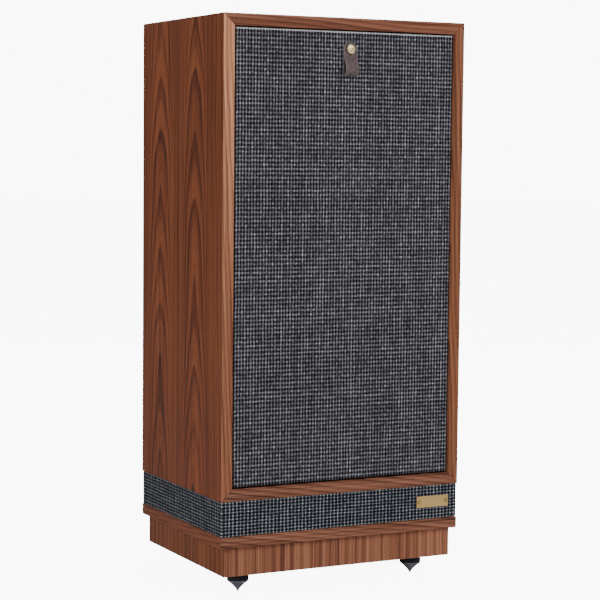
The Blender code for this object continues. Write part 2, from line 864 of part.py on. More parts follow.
def make_controls():
    width, height, thick = CONTROL_SIZE
    back = BAFFLE_FRONT - GAP
    plate = box(
        "control_plate",
        (-width / 2, back - thick, CONTROL_Z - height / 2),
        (width / 2, back, CONTROL_Z + height / 2),
    )
    finish(plate, (0.05, 0.05, 0.05), 0.4, 0.8)
    top = KNOB_HEIGHT
    profile = [
        (0, top),
        (KNOB_RADIUS - 0.0012, top),
        (KNOB_RADIUS, top - 0.0012),
        (KNOB_RADIUS, 0),
        (SHAFT_RADIUS, 0),
        (SHAFT_RADIUS, -0.030),
        (0, -0.030),
    ]
    for name, side in (("knob_presence", -1), ("knob_treble", 1)):
        x = side * KNOB_SPACING / 2
        hole = cylinder(
            name + "_hole", SHAFT_RADIUS + 0.0005, 0.02, (x, back, CONTROL_Z), FACE_FRONT, SMALL
        )
        cut(plate, as_cutter(hole))
        knob = turned(name, profile, (x, back - thick - GAP, CONTROL_Z), FACE_FRONT, 24)
        finish(knob, BRASS, 0.3, 1.0)


def make_terminals():
    width, height, thick = TERMINAL_SIZE
    plate = box(
        "terminal_plate",
        (-width / 2, TERMINAL_BACK - thick, TERMINAL_Z - height / 2),
        (width / 2, TERMINAL_BACK, TERMINAL_Z + height / 2),
    )
    finish(plate, (0.5, 0.5, 0.5), 0.4, 1.0)
    stem, collar = 0.0034, 0.0040
    cap_low, cap_high = collar + GAP, 0.0215
    post_profile = [
        (0, cap_high - 0.004),
        (stem, cap_high - 0.004),
        (stem, collar),
        (POST_RADIUS, collar),
        (POST_RADIUS, 0),
        (stem, 0),
        (stem, -0.020),
        (0, -0.020),
    ]
    cap_profile = [
        (POST_RADIUS - 0.0010, cap_high),
        (POST_RADIUS, cap_high - 0.0010),
        (POST_RADIUS, cap_low),
        (stem + GAP, cap_low),
        (stem + GAP, cap_high - 0.003),
        (0.0022, cap_high - 0.003),
        (0.0022, cap_high),
    ]
    posts = (
        ("high_minus", -1, 1, (0.02, 0.02, 0.02)),
        ("high_plus", 1, 1, (0.45, 0.02, 0.02)),
        ("low_minus", -1, -1, (0.02, 0.02, 0.02)),
        ("low_plus", 1, -1, (0.45, 0.02, 0.02)),
    )
    for name, side, level, colour in posts:
        x = side * POST_SPACING[0] / 2
        z = TERMINAL_Z + level * POST_SPACING[1] / 2
        hole = cylinder(name + "_hole", stem + GAP, 0.05, (x, BACK, z), FACE_FRONT, SMALL)
        cut(plate, as_cutter(hole))
        place = (x, TERMINAL_BACK + GAP, z)
        post = turned("post_" + name, post_profile, place, FACE_BACK, SMALL)
        finish(post, BRASS, 0.25, 1.0)
        cap = turned("cap_" + name, cap_profile, place, FACE_BACK, SMALL, ring=True)
        finish(cap, colour, 0.3)


def make_badge():
    width, height, thick = BADGE_SIZE
    back = BAND_FRONT - GAP
    plate = box(
        "badge_plate",
        (BADGE_X - width / 2, back - thick, BADGE_Z - height / 2),
        (BADGE_X + width / 2, back, BADGE_Z + height / 2),
    )
    finish(plate, BRASS, 0.3, 1.0)
    head = 0.0012
    for name, side in (("badge_screw_left", -1), ("badge_screw_right", 1)):
        profile = [
            (0, head),
            (BADGE_SCREW * 0.7, head * 0.85),
            (BADGE_SCREW, head * 0.3),
            (BADGE_SCREW, 0),
            (0, 0),
        ]
        x = BADGE_X + side * (width / 2 - BADGE_SCREW_INSET)
        screw = turned(name, profile, (x, back - thick - GAP, BADGE_Z), FACE_FRONT, SMALL)
        finish(screw, BRASS, 0.3, 1.0)


def make_crossover():
    low = CABINET_BOTTOM + PANEL + GAP
    thick = 0.003
    centre_x, centre_y = 0.155, 0.020
    board = box(
        "crossover_board",
        (centre_x - 0.070, centre_y - 0.090, low),
        (centre_x + 0.070, centre_y + 0.090, low + thick),
    )
    finish(board, (0.02, 0.10, 0.04), 0.5)
    top = low + thick + GAP
    coil = [(0.030, 0.030), (0.030, 0), (0.012, 0), (0.012, 0.030)]
    inductor = turned("inductor", coil, (centre_x - 0.025, centre_y + 0.045, top), ring=True, segments=24)
    finish(inductor, (0.55, 0.25, 0.10), 0.35, 0.9)
    radius = 0.016
    capacitor = cylinder(
        "capacitor",
        radius,
        0.060,
        (centre_x, centre_y - 0.040, top + radius),
        (0, math.pi / 2, 0),
        24,
    )
    finish(capacitor, (0.05, 0.07, 0.20), 0.3)


def build():
    make_carcass()
    make_front_frame()
    make_baffle()
    make_back_panel()
    make_brace_and_wadding()
    make_band()
    make_port()
    make_base_plate()
    make_plinth()
    make_feet()
    grille_pivot = empty_at("grille_slide", (0, CLOTH_FRONT, (GRILLE_BOTTOM + GRILLE_TOP) / 2))
    neck_hole = make_grille(grille_pivot)
    make_pull_tab(grille_pivot, neck_hole)
    make_basket()
    make_surround()
    make_cone()
    make_spider()
    make_waveguide()
    make_motor()
    make_controls()
    make_terminals()
    make_badge()
    make_crossover()


build()
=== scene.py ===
"""Looks of a floorstanding speaker: walnut cabinet, tweed grille with a leather tab, brass and gunmetal."""

import itertools
import math
from functools import partialmethod

import bmesh
import bpy
import numpy as np
from mathutils import Matrix, Vector


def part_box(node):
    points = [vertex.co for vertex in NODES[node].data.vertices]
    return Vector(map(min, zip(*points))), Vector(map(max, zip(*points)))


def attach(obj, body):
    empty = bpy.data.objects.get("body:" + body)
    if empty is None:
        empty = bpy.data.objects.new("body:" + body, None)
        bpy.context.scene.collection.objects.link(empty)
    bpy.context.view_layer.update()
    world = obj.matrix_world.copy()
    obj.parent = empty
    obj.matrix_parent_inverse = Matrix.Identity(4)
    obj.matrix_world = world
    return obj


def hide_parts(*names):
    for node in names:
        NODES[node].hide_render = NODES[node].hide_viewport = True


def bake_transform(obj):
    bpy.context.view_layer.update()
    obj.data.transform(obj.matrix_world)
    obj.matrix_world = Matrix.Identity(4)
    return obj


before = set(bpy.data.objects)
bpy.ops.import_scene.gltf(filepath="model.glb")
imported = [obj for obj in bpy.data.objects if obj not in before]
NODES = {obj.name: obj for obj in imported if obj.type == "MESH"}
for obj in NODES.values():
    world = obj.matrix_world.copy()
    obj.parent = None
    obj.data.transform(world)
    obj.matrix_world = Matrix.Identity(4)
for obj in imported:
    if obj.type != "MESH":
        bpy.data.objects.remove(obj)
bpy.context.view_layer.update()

# Sizes repeated from the part, in metres
WIDTH, DEPTH, HEIGHT = 0.525, 0.395, 1.114
FRONT, BACK = -DEPTH / 2, DEPTH / 2
GAP = 0.0003
BAFFLE_FRONT = FRONT + 0.0237 + GAP
CLOTH_FRONT = FRONT + 0.0015
STUD_X, STUD_Z = 0.0045, 1.054
DRIVER = Vector((0, BAFFLE_FRONT, 0.835))
CONTROL_Z, TERMINAL_Z = 0.460, 0.300
KNOBS = {"presence": -0.055, "treble": 0.055}
TERMINAL_BACK = BACK - 0.0015 + GAP + 0.004
BADGE = Vector((0.2045, FRONT + 0.001 - GAP, 0.1582))

# Which way the axis of a turned piece points
UPWARD = Matrix.Identity(4)
FORWARD = Matrix.Rotation(math.pi / 2, 4, "X")
BACKWARD = Matrix.Rotation(-math.pi / 2, 4, "X")

# Stage: the camera's lens in millimetres, its place, and its yaw, pitch and roll in degrees
LENS, CAMERA_PLACE, CAMERA_TURN = 112.068, (-1.7206, -3.3858, 0.8554), (26.969, -4.522, 0.541)
WORLD_LIGHT, WORLD_SEEN, FLOOR_SEEN = 0.35, 9.5, 9.0
LIGHTS = (
    ("key", (0.9, -3.6, 2.6), (2.2, 2.2), 85, (0, 0, 0.6)),
    ("left_fill", (-3.6, -1.2, 1.6), (1.8, 2.4), 22, (0, 0, 0.6)),
    ("top", (0.0, 0.3, 3.4), (2.0, 2.0), 25, (0, 0, 0.8)),
    ("back_fill", (1.6, 3.6, 2.2), (2.2, 2.2), 40, (0, 0, 0.6)),
)


# Node materials written as arithmetic


class Value:
    """A number or colour on its way through a node tree."""

    def __init__(self, look, socket):
        self.look = look
        self.socket = socket

    def math(self, operation, *others):
        node = self.look.node("ShaderNodeMath", operation=operation)
        for slot, item in zip(node.inputs, (self, *others)):
            self.look.feed(slot, item)
        return Value(self.look, node.outputs[0])

    def invert(self):
        return self.math("MULTIPLY_ADD", -1.0, 1.0)

    def step(self, low, high, to_low=0.0, to_high=1.0):
        """A smooth step of the value from low to high."""
        node = self.look.node("ShaderNodeMapRange", interpolation_type="SMOOTHSTEP")
        self.look.feed(node.inputs["Value"], self)
        names = ("From Min", "From Max", "To Min", "To Max")
        for name, item in zip(names, (low, high, to_low, to_high)):
            node.inputs[name].default_value = item
        return Value(self.look, node.outputs["Result"])


OPERATIONS = {
    "__add__": "ADD", "__sub__": "SUBTRACT", "__mul__": "MULTIPLY", "__truediv__": "DIVIDE",
    "__pow__": "POWER", "floor": "FLOOR", "fract": "FRACT", "size": "ABSOLUTE", "root": "SQRT",
    "sine": "SINE", "over": "MAXIMUM", "under": "MINIMUM",
}
for word, operation in OPERATIONS.items():
    setattr(Value, word, partialmethod(Value.math, operation))


class Look:
    """One material: a Principled shader and the nodes that feed it."""

    def __init__(self, name, roughness=0.5, metallic=0.0, **sockets):
        self.material = bpy.data.materials.new(name)
        self.material.use_nodes = True
        self.tree = self.material.node_tree
        self.shader = self.tree.nodes["Principled BSDF"]
        self.shader.inputs["Roughness"].default_value = roughness
        self.shader.inputs["Metallic"].default_value = metallic
        for key, value in sockets.items():
            self.shader.inputs[key.replace("_", " ")].default_value = value
        self.coordinates = self.node("ShaderNodeTexCoord")

    def node(self, kind, **settings):
        node = self.tree.nodes.new(kind)
        for key, value in settings.items():
            setattr(node, key, value)
        return node

    def feed(self, slot, item):
        if isinstance(item, Value):
            self.tree.links.new(item.socket, slot)
        else:
            slot.default_value = item

    def place(self, source="Object"):
        """The three coordinates of the point."""
        node = self.node("ShaderNodeSeparateXYZ")
        self.tree.links.new(self.coordinates.outputs[source], node.inputs[0])
        return [Value(self, out) for out in node.outputs]

    def vector(self, x, y, z):
        node = self.node("ShaderNodeCombineXYZ")
        for slot, item in zip(node.inputs, (x, y, z)):
            self.feed(slot, item)
        return Value(self, node.outputs[0])

    def noise(self, x, y, z, detail=2.0, roughness=0.5):
        """Noise around 0.5 at a point already scaled."""
        node = self.node("ShaderNodeTexNoise")
        self.feed(node.inputs["Vector"], self.vector(x, y, z))
        node.inputs["Scale"].default_value = 1.0
        node.inputs["Detail"].default_value = detail
        node.inputs["Roughness"].default_value = roughness
        return Value(self, node.outputs[0])

    def chance(self, x, y=0.0, z=0.0):
        """A random number from 0 to 1 that changes with each whole number."""
        node = self.node("ShaderNodeTexWhiteNoise", noise_dimensions="3D")
        self.feed(node.inputs["Vector"], self.vector(x, y, z))
        return Value(self, node.outputs["Value"])

    def ramp(self, value, *stops):
        """A colour for the value, from (position, colour) stops."""
        node = self.node("ShaderNodeValToRGB")
        elements = node.color_ramp.elements
        while len(elements) < len(stops):
            elements.new(0.5)
        for element, (position, colour) in zip(elements, stops):
            element.position = position
            element.color = (*colour, 1.0)
        self.feed(node.inputs[0], value)
        return Value(self, node.outputs[0])

    def mix(self, share, first, second, blend="MIX"):
        node = self.node("ShaderNodeMix", data_type="RGBA", blend_type=blend)
        self.feed(node.inputs[0], share)
        for slot, item in zip((node.inputs[6], node.inputs[7]), (first, second)):
            self.feed(slot, item if isinstance(item, Value) else (*item, 1.0))
        return Value(self, node.outputs[2])

    def paint(self, colour):
        self.feed(self.shader.inputs["Base Color"], colour if isinstance(colour, Value) else (*colour, 1.0))

    def rough(self, value):
        self.feed(self.shader.inputs["Roughness"], value)

    def bump(self, height, distance, strength=1.0):
        node = self.node("ShaderNodeBump")
        node.inputs["Strength"].default_value = strength
        node.inputs["Distance"].default_value = distance
        self.feed(node.inputs["Height"], height)
        self.feed(self.shader.inputs["Normal"], Value(self, node.outputs[0]))


# Materials


AXES = "xyz"


def walnut(name, along, across, tones, leaf=None, period=0.010, slope=0.02, warp=0.5, strips=0.2,
           contrast=1.0, gloss=0.45, painted_top_light=None):
    """Walnut with its grain along one axis. leaf gives the seam between two matched leaves of veneer, how far
    their arches stand from it and half an arch's width; without it the grain runs straight. The last argument
    is painted light: from one height to another it makes the colour paler and greyer, by the factors given
    last."""
    look = Look(name, roughness=gloss, Specular_IOR_Level=0.12)
    place = dict(zip(AXES, look.place()))
    grain, side = place[along], place[across]
    depth = place[next(axis for axis in AXES if axis not in (along, across))]
    if leaf:
        seam, centre, half = leaf
        turned_leaf = (side - seam).step(-0.0001, 0.0001)
        apart = ((side - seam).size() - centre).size()
        near = ((apart + 0.0015) / (half * 1.09)) ** 1.45
        legs = near.under(0.94).invert() ** -1.0
        drift = look.noise(grain * 3.2 + turned_leaf * 5, 0.3, 0.0, 1.0) - 0.5
        turn = (grain + turned_leaf * 0.085 + legs * 0.34) / 0.135 + (apart - half * 0.95).over(0.0) / 0.0065
        turn = turn + drift * 2.6
    else:
        turned_leaf = look.chance(0.5)
        turn = (side + grain * slope) / period
    shift = turned_leaf * 3.7
    slow = look.noise(side * 6, grain * 1.6 + shift, depth * 5, 2.0) - 0.5
    quick = look.noise(side * 34, grain * 5.0 + shift, depth * 30, 2.0) - 0.5
    turn = turn + slow * (warp * 2.2) + quick * (warp * 0.6)
    ring, part = turn.floor(), turn.fract()
    late = part.step(0.30, 0.93) * part.step(0.94, 1.0, 1.0, 0.0)
    line = look.noise(turn * 9.0, grain * 1.3, turned_leaf, 3.0, 0.65)
    streak = look.noise(side * 330 + slow * 8, grain * 1.4 + shift, depth * 330, 2.0, 0.75)
    strip = look.chance(ring, turned_leaf)
    cloud = look.noise(side * 14, grain * 2.0 + shift, depth * 9, 2.0)
    fibre = look.noise(side * 900, grain * 12, depth * 900, 3.0, 0.6)
    hair = look.noise(side * 480, grain * 0.9 + shift, depth * 480, 2.0, 0.6)
    parts = (late - 0.4) * 0.34 + (line - 0.5) * 0.75 + (streak - 0.5) * 1.15 + (strip - 0.5) * strips
    tone = parts * contrast + (cloud - 0.5) * (0.35 * contrast) + (fibre - 0.5) * 0.35
    tone = tone + (hair - 0.5) * 0.8 + 0.45
    pore = look.noise(side * 1300, grain * 38, depth * 1300, 1.0).step(0.63, 0.72)
    colour = look.ramp(tone, *tones)
    # Painted light: the wood is made paler and greyer upwards, as the light falls from above.
    if painted_top_light:
        pale = look.mix(1.0, colour, painted_top_light[2], "MULTIPLY")
        colour = look.mix(grain.step(painted_top_light[0], painted_top_light[1]), colour, pale)
    look.paint(look.mix(pore * 0.40, colour, tones[-1][1]))
    look.rough((fibre * 0.16 + (gloss - 0.06)) + pore * 0.2)
    look.bump((pore * -1.0) + (fibre * 0.35) + (late * -0.15), 0.00012, 0.6)
    return look.material


VENEER = (
    (0.05, (0.370, 0.108, 0.040)),
    (0.38, (0.250, 0.065, 0.022)),
    (0.66, (0.150, 0.036, 0.0120)),
    (0.95, (0.062, 0.016, 0.007)),
)


def toned(tones, red, green, blue):
    return tuple((at, (c[0] * red, c[1] * green, c[2] * blue)) for at, c in tones)


def tweed(name, across, up, pitch, body, crossing, even, tones, edge=None):
    """Open tweed of pale slubby yarns on a black ground, which reads as a lattice with small dark holes.
    pitch and body are the distance between yarns and the share of it that a yarn fills, for the upright and
    the level ones. crossing is a painted highlight, how pale they get where they cross, and even how alike
    the crossings are. edge is the height of the cloth's top fold round its frame, which a painted highlight
    makes paler."""
    look = Look(name, roughness=0.9, Specular_IOR_Level=0.15)
    x, y, z = look.place()
    wander = look.noise(x * 90, y * 90, z * 35, 2.0) - 0.5
    drift = look.noise(z * 90, x * 35, y * 35 + 9.0, 2.0) - 0.5
    u = (across(x, y, z) + wander * 0.0026) / pitch[0]
    v = (up(x, y, z) + drift * 0.0026) / pitch[1]
    i, j = u.floor(), v.floor()

    def yarn(index, other, seed):
        """How pale a yarn is: it changes slowly and in slubs along it, and between yarns."""
        slow = look.noise(index * 17.31, other * 0.12, seed, 1.0).step(0.25, 0.75)
        slub = look.noise(index * 3.17, other * 1.10, seed + 5.0, 2.0).step(0.25, 0.75)
        return slow * 0.30 + slub * 0.45 + look.chance(index, seed) * 0.25

    def hill(part, width):
        """The round back of a yarn that fills the middle of its place."""
        off = (part - 0.5) / (width / 2)
        return (off * off).invert().over(0.0).root()

    # Used as colour, the hill marks where a yarn covers the black ground and also paints shade on its round
    # flanks, darker towards its edges.
    upright, level = hill(u.fract(), body[0]), hill(v.fract(), body[1])
    in_front = ((i + j) * 0.5).fract() * 2
    warp = upright * (yarn(i, v, 1.0) * 0.54 + 0.165)
    weft = level * (yarn(j, u, 4.0) * 0.44 + 0.145)
    # The term added where the yarns cross is a painted highlight on the raised crossings.
    light = warp.over(weft) + upright * level * ((look.chance(i, j, 8.0) * (1 - even) + even) * crossing)
    crest = upright * (level * in_front * 0.6).invert()
    height = crest.over(level * (upright * in_front.invert() * 0.6).invert())
    ply = look.noise(u * 2.3 + v * 1.1, v * 2.3 - u * 1.1, i + j, 2.0, 0.7)
    light = light * (ply * 1.7 + 0.15)
    # Painted highlight: above about this height the cloth, on its top fold round the frame, is made paler.
    if edge:
        light = light + z.step(edge - 0.0036, edge - 0.0018) * (yarn(i, v, 1.0) * 1.1 + 0.30)
    look.paint(look.ramp(light, *tones))
    look.bump(height + ply * 0.25, 0.0012, 0.7)
    return look.material


def mottled(
    name, light, dark, scale, roughness=0.5, metallic=0.0, bump=0.0, stretch=(1, 1, 1), rings=(), **sockets
):
    """A finish with a soft mottle and grain of one scale, in marks per metre. Each ring is painted shade, a
    dark ring in the upright plane, as (x, z, inside, outside)."""
    look = Look(name, roughness, metallic, **sockets)
    place = look.place()
    x, y, z = (axis * (scale * pull) for axis, pull in zip(place, stretch))
    grain = look.noise(x, y, z, 4.0, 0.62)
    cloud = look.noise(x * 0.07, y * 0.07, z * 0.07, 2.0)
    colour = look.ramp(grain * 0.6 + cloud * 0.4, (0.3, dark), (0.7, light))
    for ring_x, ring_z, inside, outside in rings:
        dx, dz = place[0] - ring_x, place[2] - ring_z
        radius = (dx * dx + dz * dz).root()
        band = radius.step(inside - 0.0002, inside) * radius.step(outside, outside + 0.0003, 1.0, 0.0)
        colour = look.mix(band * 0.95, colour, tuple(c * 0.06 for c in dark))
    look.paint(colour)
    look.rough(cloud * 0.16 + (grain * 0.14) + (roughness - 0.15))
    if bump:
        look.bump(grain, bump, 0.7)
    return look.material


def turned_metal(name, light, dark, centre, roughness, groove=0.0006, dark_rings=()):
    """Metal with fine rings left by the lathe, round an axis along Y. The last argument lists dark rings,
    each between two radii."""
    look = Look(name, roughness, 1.0)
    x, y, z = look.place()
    dx, dz = x - centre[0], z - centre[1]
    radius = (dx * dx + dz * dz).root()
    rings = (radius * (2 * math.pi / groove)).sine() * 0.5 + 0.5
    mottle = look.noise(x * 400, y * 400, z * 400, 3.0)
    colour = look.ramp(rings * 0.4 + mottle * 0.6, (0.2, dark), (0.8, light))
    for low, high in dark_rings:
        band = radius.step(low - 0.0002, low + 0.0002) * radius.step(high - 0.0002, high + 0.0002, 1.0, 0.0)
        colour = look.mix(band * 0.85, colour, tuple(c * 0.08 for c in dark))
    look.paint(colour)
    look.rough(mottle * 0.2 + (roughness - 0.1))
    look.bump(rings, 0.00004, 0.8)
    return look.material


def leather(name):
    look = Look(name, 0.55, Specular_IOR_Level=0.35)
    x, y, z = look.place("UV")
    cells = look.node("ShaderNodeTexVoronoi", feature="DISTANCE_TO_EDGE")
    look.feed(cells.inputs["Vector"], look.vector(x * 1.0, y * 1.0, 0.0))
    cells.inputs["Scale"].default_value = 900.0
    crease = Value(look, cells.outputs["Distance"]).step(0.0, 0.18)
    cloud = look.noise(x * 120, y * 120, 0.0, 3.0)
    edge = x.size().step(0.0133, 0.0138)
    tone = crease * 0.35 + cloud * 0.65
    colour = look.ramp(tone, (0.2, (0.060, 0.040, 0.043)), (0.8, (0.185, 0.125, 0.130)))
    look.paint(look.mix(edge * 0.85, colour, (0.34, 0.30, 0.28)))
    look.rough(crease * -0.12 + 0.68)
    look.bump(crease + cloud * 0.5, 0.00018, 0.8)
    return look.material


# Meshes


def add(name, data):
    thing = bpy.data.objects.new(name, data)
    bpy.context.scene.collection.objects.link(thing)
    return thing


def mesh_object(name, shape, look, sharp=35.0):
    """Makes an object of a bmesh, with smooth shading and its sharp edges kept."""
    bmesh.ops.recalc_face_normals(shape, faces=shape.faces)
    mesh = bpy.data.meshes.new(name)
    shape.to_mesh(mesh)
    shape.free()
    mesh.shade_smooth()
    mesh.set_sharp_from_angle(angle=math.radians(sharp))
    for each in look if isinstance(look, list) else [look]:
        mesh.materials.append(each)
    return add(name, mesh)


def settle(thing, body, slot, *nodes):
    """Rides on a body and stands for the CAD nodes. slot is not used."""
    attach(thing, body)
    if nodes:
        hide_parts(*nodes)
    return thing


def apply(thing):
    """Keeps the result of the modifiers as the mesh."""
    bpy.context.view_layer.update()
    done = bpy.data.meshes.new_from_object(thing.evaluated_get(bpy.context.evaluated_depsgraph_get()))
    old = thing.data
    thing.modifiers.clear()
    thing.data = done
    done.name = old.name + "_made"
    bpy.data.meshes.remove(old)


def thicken(thing, thick):
    """Gives a sheet its thickness, inwards, and keeps it as plain mesh."""
    solid = thing.modifiers.new("thickness", "SOLIDIFY")
    solid.thickness = thick
    solid.offset = -1.0
    apply(thing)


def carve(thing, shape):
    """Cuts a shape out of a thing."""
    cutter = mesh_object("cutter", shape, thing.data.materials[0])
    cut = thing.modifiers.new("cut", "BOOLEAN")
    cut.operation, cut.solver, cut.object = "DIFFERENCE", "EXACT", cutter
    apply(thing)
    bpy.data.objects.remove(cutter)


def skin(shape, rows, around=False):
    """Joins rows of points with faces. A row that goes around is closed into a ring."""
    for a, b in zip(rows, rows[1:]):
        for k in range(len(a) if around else len(a) - 1):
            after = (k + 1) % len(a)
            shape.faces.new((a[k], a[after], b[after], b[k]))


def eased(profile, radius, closed=False, steps=3):
    """Rounds the corners of a profile."""
    count = len(profile)
    points = []
    for index, corner in enumerate(profile):
        if not closed and index in (0, count - 1):
            points.append(corner)
            continue
        here = Vector(corner)
        before, after = Vector(profile[index - 1]), Vector(profile[(index + 1) % count])
        into, out = before - here, after - here
        angle = into.angle(out, math.pi)
        if angle > math.radians(160):
            points.append(corner)
            continue
        reach = min(radius / math.tan(angle / 2), into.length * 0.45, out.length * 0.45)
        start, end = here + into.normalized() * reach, here + out.normalized() * reach
        for step in range(steps + 1):
            t = step / steps
            spot = start * (1 - t) ** 2 + here * 2 * t * (1 - t) + end * t * t
            points.append((spot.x, spot.y))
    return points


def lathe(shape, profile, turn, segments, closed=False):
    """Turns a profile of (radius, height) about Z, then puts it in place."""
    rings = []
    for radius, height in profile:
        if radius < 1e-7:
            rings.append([shape.verts.new(turn @ Vector((0, 0, height)))])
            continue
        ring = []
        for index in range(segments):
            angle = 2 * math.pi * index / segments
            spot = Vector((radius * math.cos(angle), radius * math.sin(angle), height))
            ring.append(shape.verts.new(turn @ spot))
        rings.append(ring)
    pairs = list(zip(rings, rings[1:])) + ([(rings[-1], rings[0])] if closed else [])
    for first, second in pairs:
        for index in range(segments):
            after = (index + 1) % segments
            if len(first) == 1 and len(second) == 1:
                continue
            if len(first) == 1:
                shape.faces.new((first[0], second[index], second[after]))
            elif len(second) == 1:
                shape.faces.new((first[index], second[0], first[after]))
            else:
                shape.faces.new((first[index], second[index], second[after], first[after]))


def turned(name, profile, place, facing, look, segments=64, ring=False, ease=0.0004):
    shape = bmesh.new()
    if ease:
        profile = eased(profile, ease, ring)
    lathe(shape, profile, Matrix.Translation(place) @ facing, segments, ring)
    return mesh_object(name, shape, look)


def slab(shape, low, high, edge, turn=UPWARD):
    """A block with rounded edges between two corners."""
    made = bmesh.ops.create_cube(shape, size=1.0)["verts"]
    size = [b - a for a, b in zip(low, high)]
    middle = Vector([(a + b) / 2 for a, b in zip(low, high)])
    for vert in made:
        vert.co = turn @ (Vector([c * s for c, s in zip(vert.co, size)]) + middle)
    shape.normal_update()
    edges = {e for vert in made for e in vert.link_edges}
    bmesh.ops.bevel(shape, geom=list(edges), offset=edge, segments=3, affect="EDGES", profile=0.7)


SLANTED_EDGE = 0.0002


def refined(node, name, look, edge, outer=None):
    """A copy of a flat-sided CAD node with eased edges. Its slanted ends stay crisp. outer gives a second
    material, the axis that the faces it covers look along, and which way, or 0 for both."""
    shape = bmesh.new()
    shape.from_mesh(NODES[node].data)
    bmesh.ops.remove_doubles(shape, verts=shape.verts, dist=0.00001)
    bmesh.ops.dissolve_limit(shape, angle_limit=0.01, verts=shape.verts, edges=shape.edges)

    def square(face):
        return max(abs(c) for c in face.normal) > 0.999

    crisp = [e for e in shape.edges if e.is_manifold and not all(square(f) for f in e.link_faces)]
    soft = [e for e in shape.edges if e.is_manifold and all(square(f) for f in e.link_faces)]
    if crisp:
        bmesh.ops.bevel(shape, geom=crisp, offset=SLANTED_EDGE, segments=1, affect="EDGES")
        soft = [e for e in soft if e.is_valid]
    bmesh.ops.bevel(
        shape, geom=soft, offset=edge, segments=3, affect="EDGES", profile=0.5, clamp_overlap=True
    )
    if outer:
        _, axis, sign = outer
        for face in shape.faces:
            straight = face.normal[axis]
            face.material_index = int(abs(straight) > 0.8 and straight * sign >= 0)
    thing = mesh_object(name, shape, [look, outer[0]] if outer else look, 50)
    thing.modifiers.new("level_shading", "WEIGHTED_NORMAL").keep_sharp = True
    apply(thing)
    return thing


# Camera, light and floor


def shine(tree, slot, light, seen):
    """A strength with which white shines on the object, and another with which the camera sees it."""
    rays = tree.nodes.new("ShaderNodeLightPath")
    strength = tree.nodes.new("ShaderNodeMapRange")
    strength.inputs["To Min"].default_value = light
    strength.inputs["To Max"].default_value = seen
    tree.links.new(rays.outputs["Is Camera Ray"], strength.inputs["Value"])
    tree.links.new(strength.outputs["Result"], slot)


def make_stage():
    camera_data = bpy.data.cameras.new("camera")
    camera_data.lens = LENS
    camera_data.sensor_width = 36
    camera_data.clip_end = 100
    camera = add("camera", camera_data)
    yaw, pitch, roll = (math.radians(a) for a in CAMERA_TURN)
    ahead = Vector((math.sin(yaw) * math.cos(pitch), math.cos(yaw) * math.cos(pitch), math.sin(pitch)))
    right = Vector((math.cos(yaw), -math.sin(yaw), 0))
    up = right.cross(ahead)
    level = right * math.cos(roll) + up * math.sin(roll)
    upright = up * math.cos(roll) - right * math.sin(roll)
    turn = Matrix((level, upright, -ahead)).transposed().to_4x4()
    camera.matrix_world = Matrix.Translation(CAMERA_PLACE) @ turn
    bpy.context.scene.camera = camera

    world = bpy.data.worlds.new("studio")
    world.use_nodes = True
    bpy.context.scene.world = world
    background = world.node_tree.nodes["Background"]
    background.inputs["Color"].default_value = (1.0, 1.0, 1.0, 1.0)
    shine(world.node_tree, background.inputs["Strength"], WORLD_LIGHT, WORLD_SEEN)

    shape = bmesh.new()
    bmesh.ops.create_circle(shape, cap_ends=True, radius=30, segments=96)
    paper = Look("floor_white", 0.9, Specular_IOR_Level=0.0)
    paper.paint((0.85, 0.85, 0.85))
    paper.shader.inputs["Emission Color"].default_value = (1.0, 1.0, 1.0, 1.0)
    shine(paper.tree, paper.shader.inputs["Emission Strength"], 0.0, FLOOR_SEEN)
    floor = mesh_object("floor", shape, paper.material)
    floor.location.z = -0.0002

    for name, place, size, power, target in LIGHTS:
        data = bpy.data.lights.new(name, "AREA")
        data.shape = "RECTANGLE"
        data.size, data.size_y = size
        data.energy = power
        lamp = add(name, data)
        lamp.location = place
        aim = Vector(target) - Vector(place)
        lamp.rotation_euler = aim.to_track_quat("-Z", "Y").to_euler()


# Wood


def make_cabinet(rail):
    # The side panels and the left stile get painted light, paler and greyer towards the top.
    side = walnut(
        "walnut_side", "z", "y", toned(VENEER, 0.90, 0.82, 0.76), leaf=(0.018, 0.086, 0.086),
        contrast=1.35, painted_top_light=(0.20, 0.55, (1.075, 1.16, 1.26)),
    )
    stile_left = walnut(
        "walnut_stile_left", "z", "x", toned(VENEER, 1.6, 2.4, 3.6), slope=0.05, warp=1.6, contrast=0.85,
        painted_top_light=(0.35, 1.10, (1.75, 1.95, 2.1)),
    )
    stile_right = walnut(
        "walnut_stile_right", "z", "x", toned(VENEER, 1.15, 1.65, 2.4), slope=0.04, warp=1.3, contrast=0.9
    )
    rail_top = walnut(
        "walnut_rail_top", "x", "z", toned(VENEER, 1.12, 1.6, 2.7), slope=0.06, warp=1.2, contrast=0.9
    )
    top = walnut("walnut_top", "x", "y", VENEER, leaf=(0.0, 0.09, 0.09))
    back = walnut("walnut_back", "z", "x", VENEER, leaf=(0.0, 0.11, 0.11))
    edge_upright = walnut("walnut_edge_upright", "z", "x", VENEER, slope=0.03, warp=1.2)
    edge_level = walnut("walnut_edge_level", "x", "z", VENEER, slope=0.03, warp=1.2)
    stiles = {"left": (stile_left, -1), "right": (stile_right, 1)}
    for name, (look, sign) in stiles.items():
        panel = refined(f"side_panel_{name}", f"side_{name}", side, 0.0004, outer=(edge_upright, 1, 1))
        settle(panel, "cabinet", "walnut_veneer", f"side_panel_{name}")
        stile = refined(f"frame_stile_{name}", f"stile_{name}", look, 0.0010, outer=(side, 0, sign))
        settle(stile, "cabinet", "walnut_solid", f"frame_stile_{name}")
    rails = {"top": (rail_top, 1), "bottom": (rail, -1)}
    for name, (look, sign) in rails.items():
        panel = refined(f"{name}_panel", f"{name}_board", top, 0.0004, outer=(edge_level, 1, 1))
        settle(panel, "cabinet", "walnut_veneer", f"{name}_panel")
        bar = refined(f"frame_rail_{name}", f"rail_{name}", look, 0.0010, outer=(top, 2, sign))
        settle(bar, "cabinet", "walnut_solid", f"frame_rail_{name}")
    settle(refined("back_panel", "back_board", back, 0.0008), "cabinet", "walnut_veneer", "back_panel")


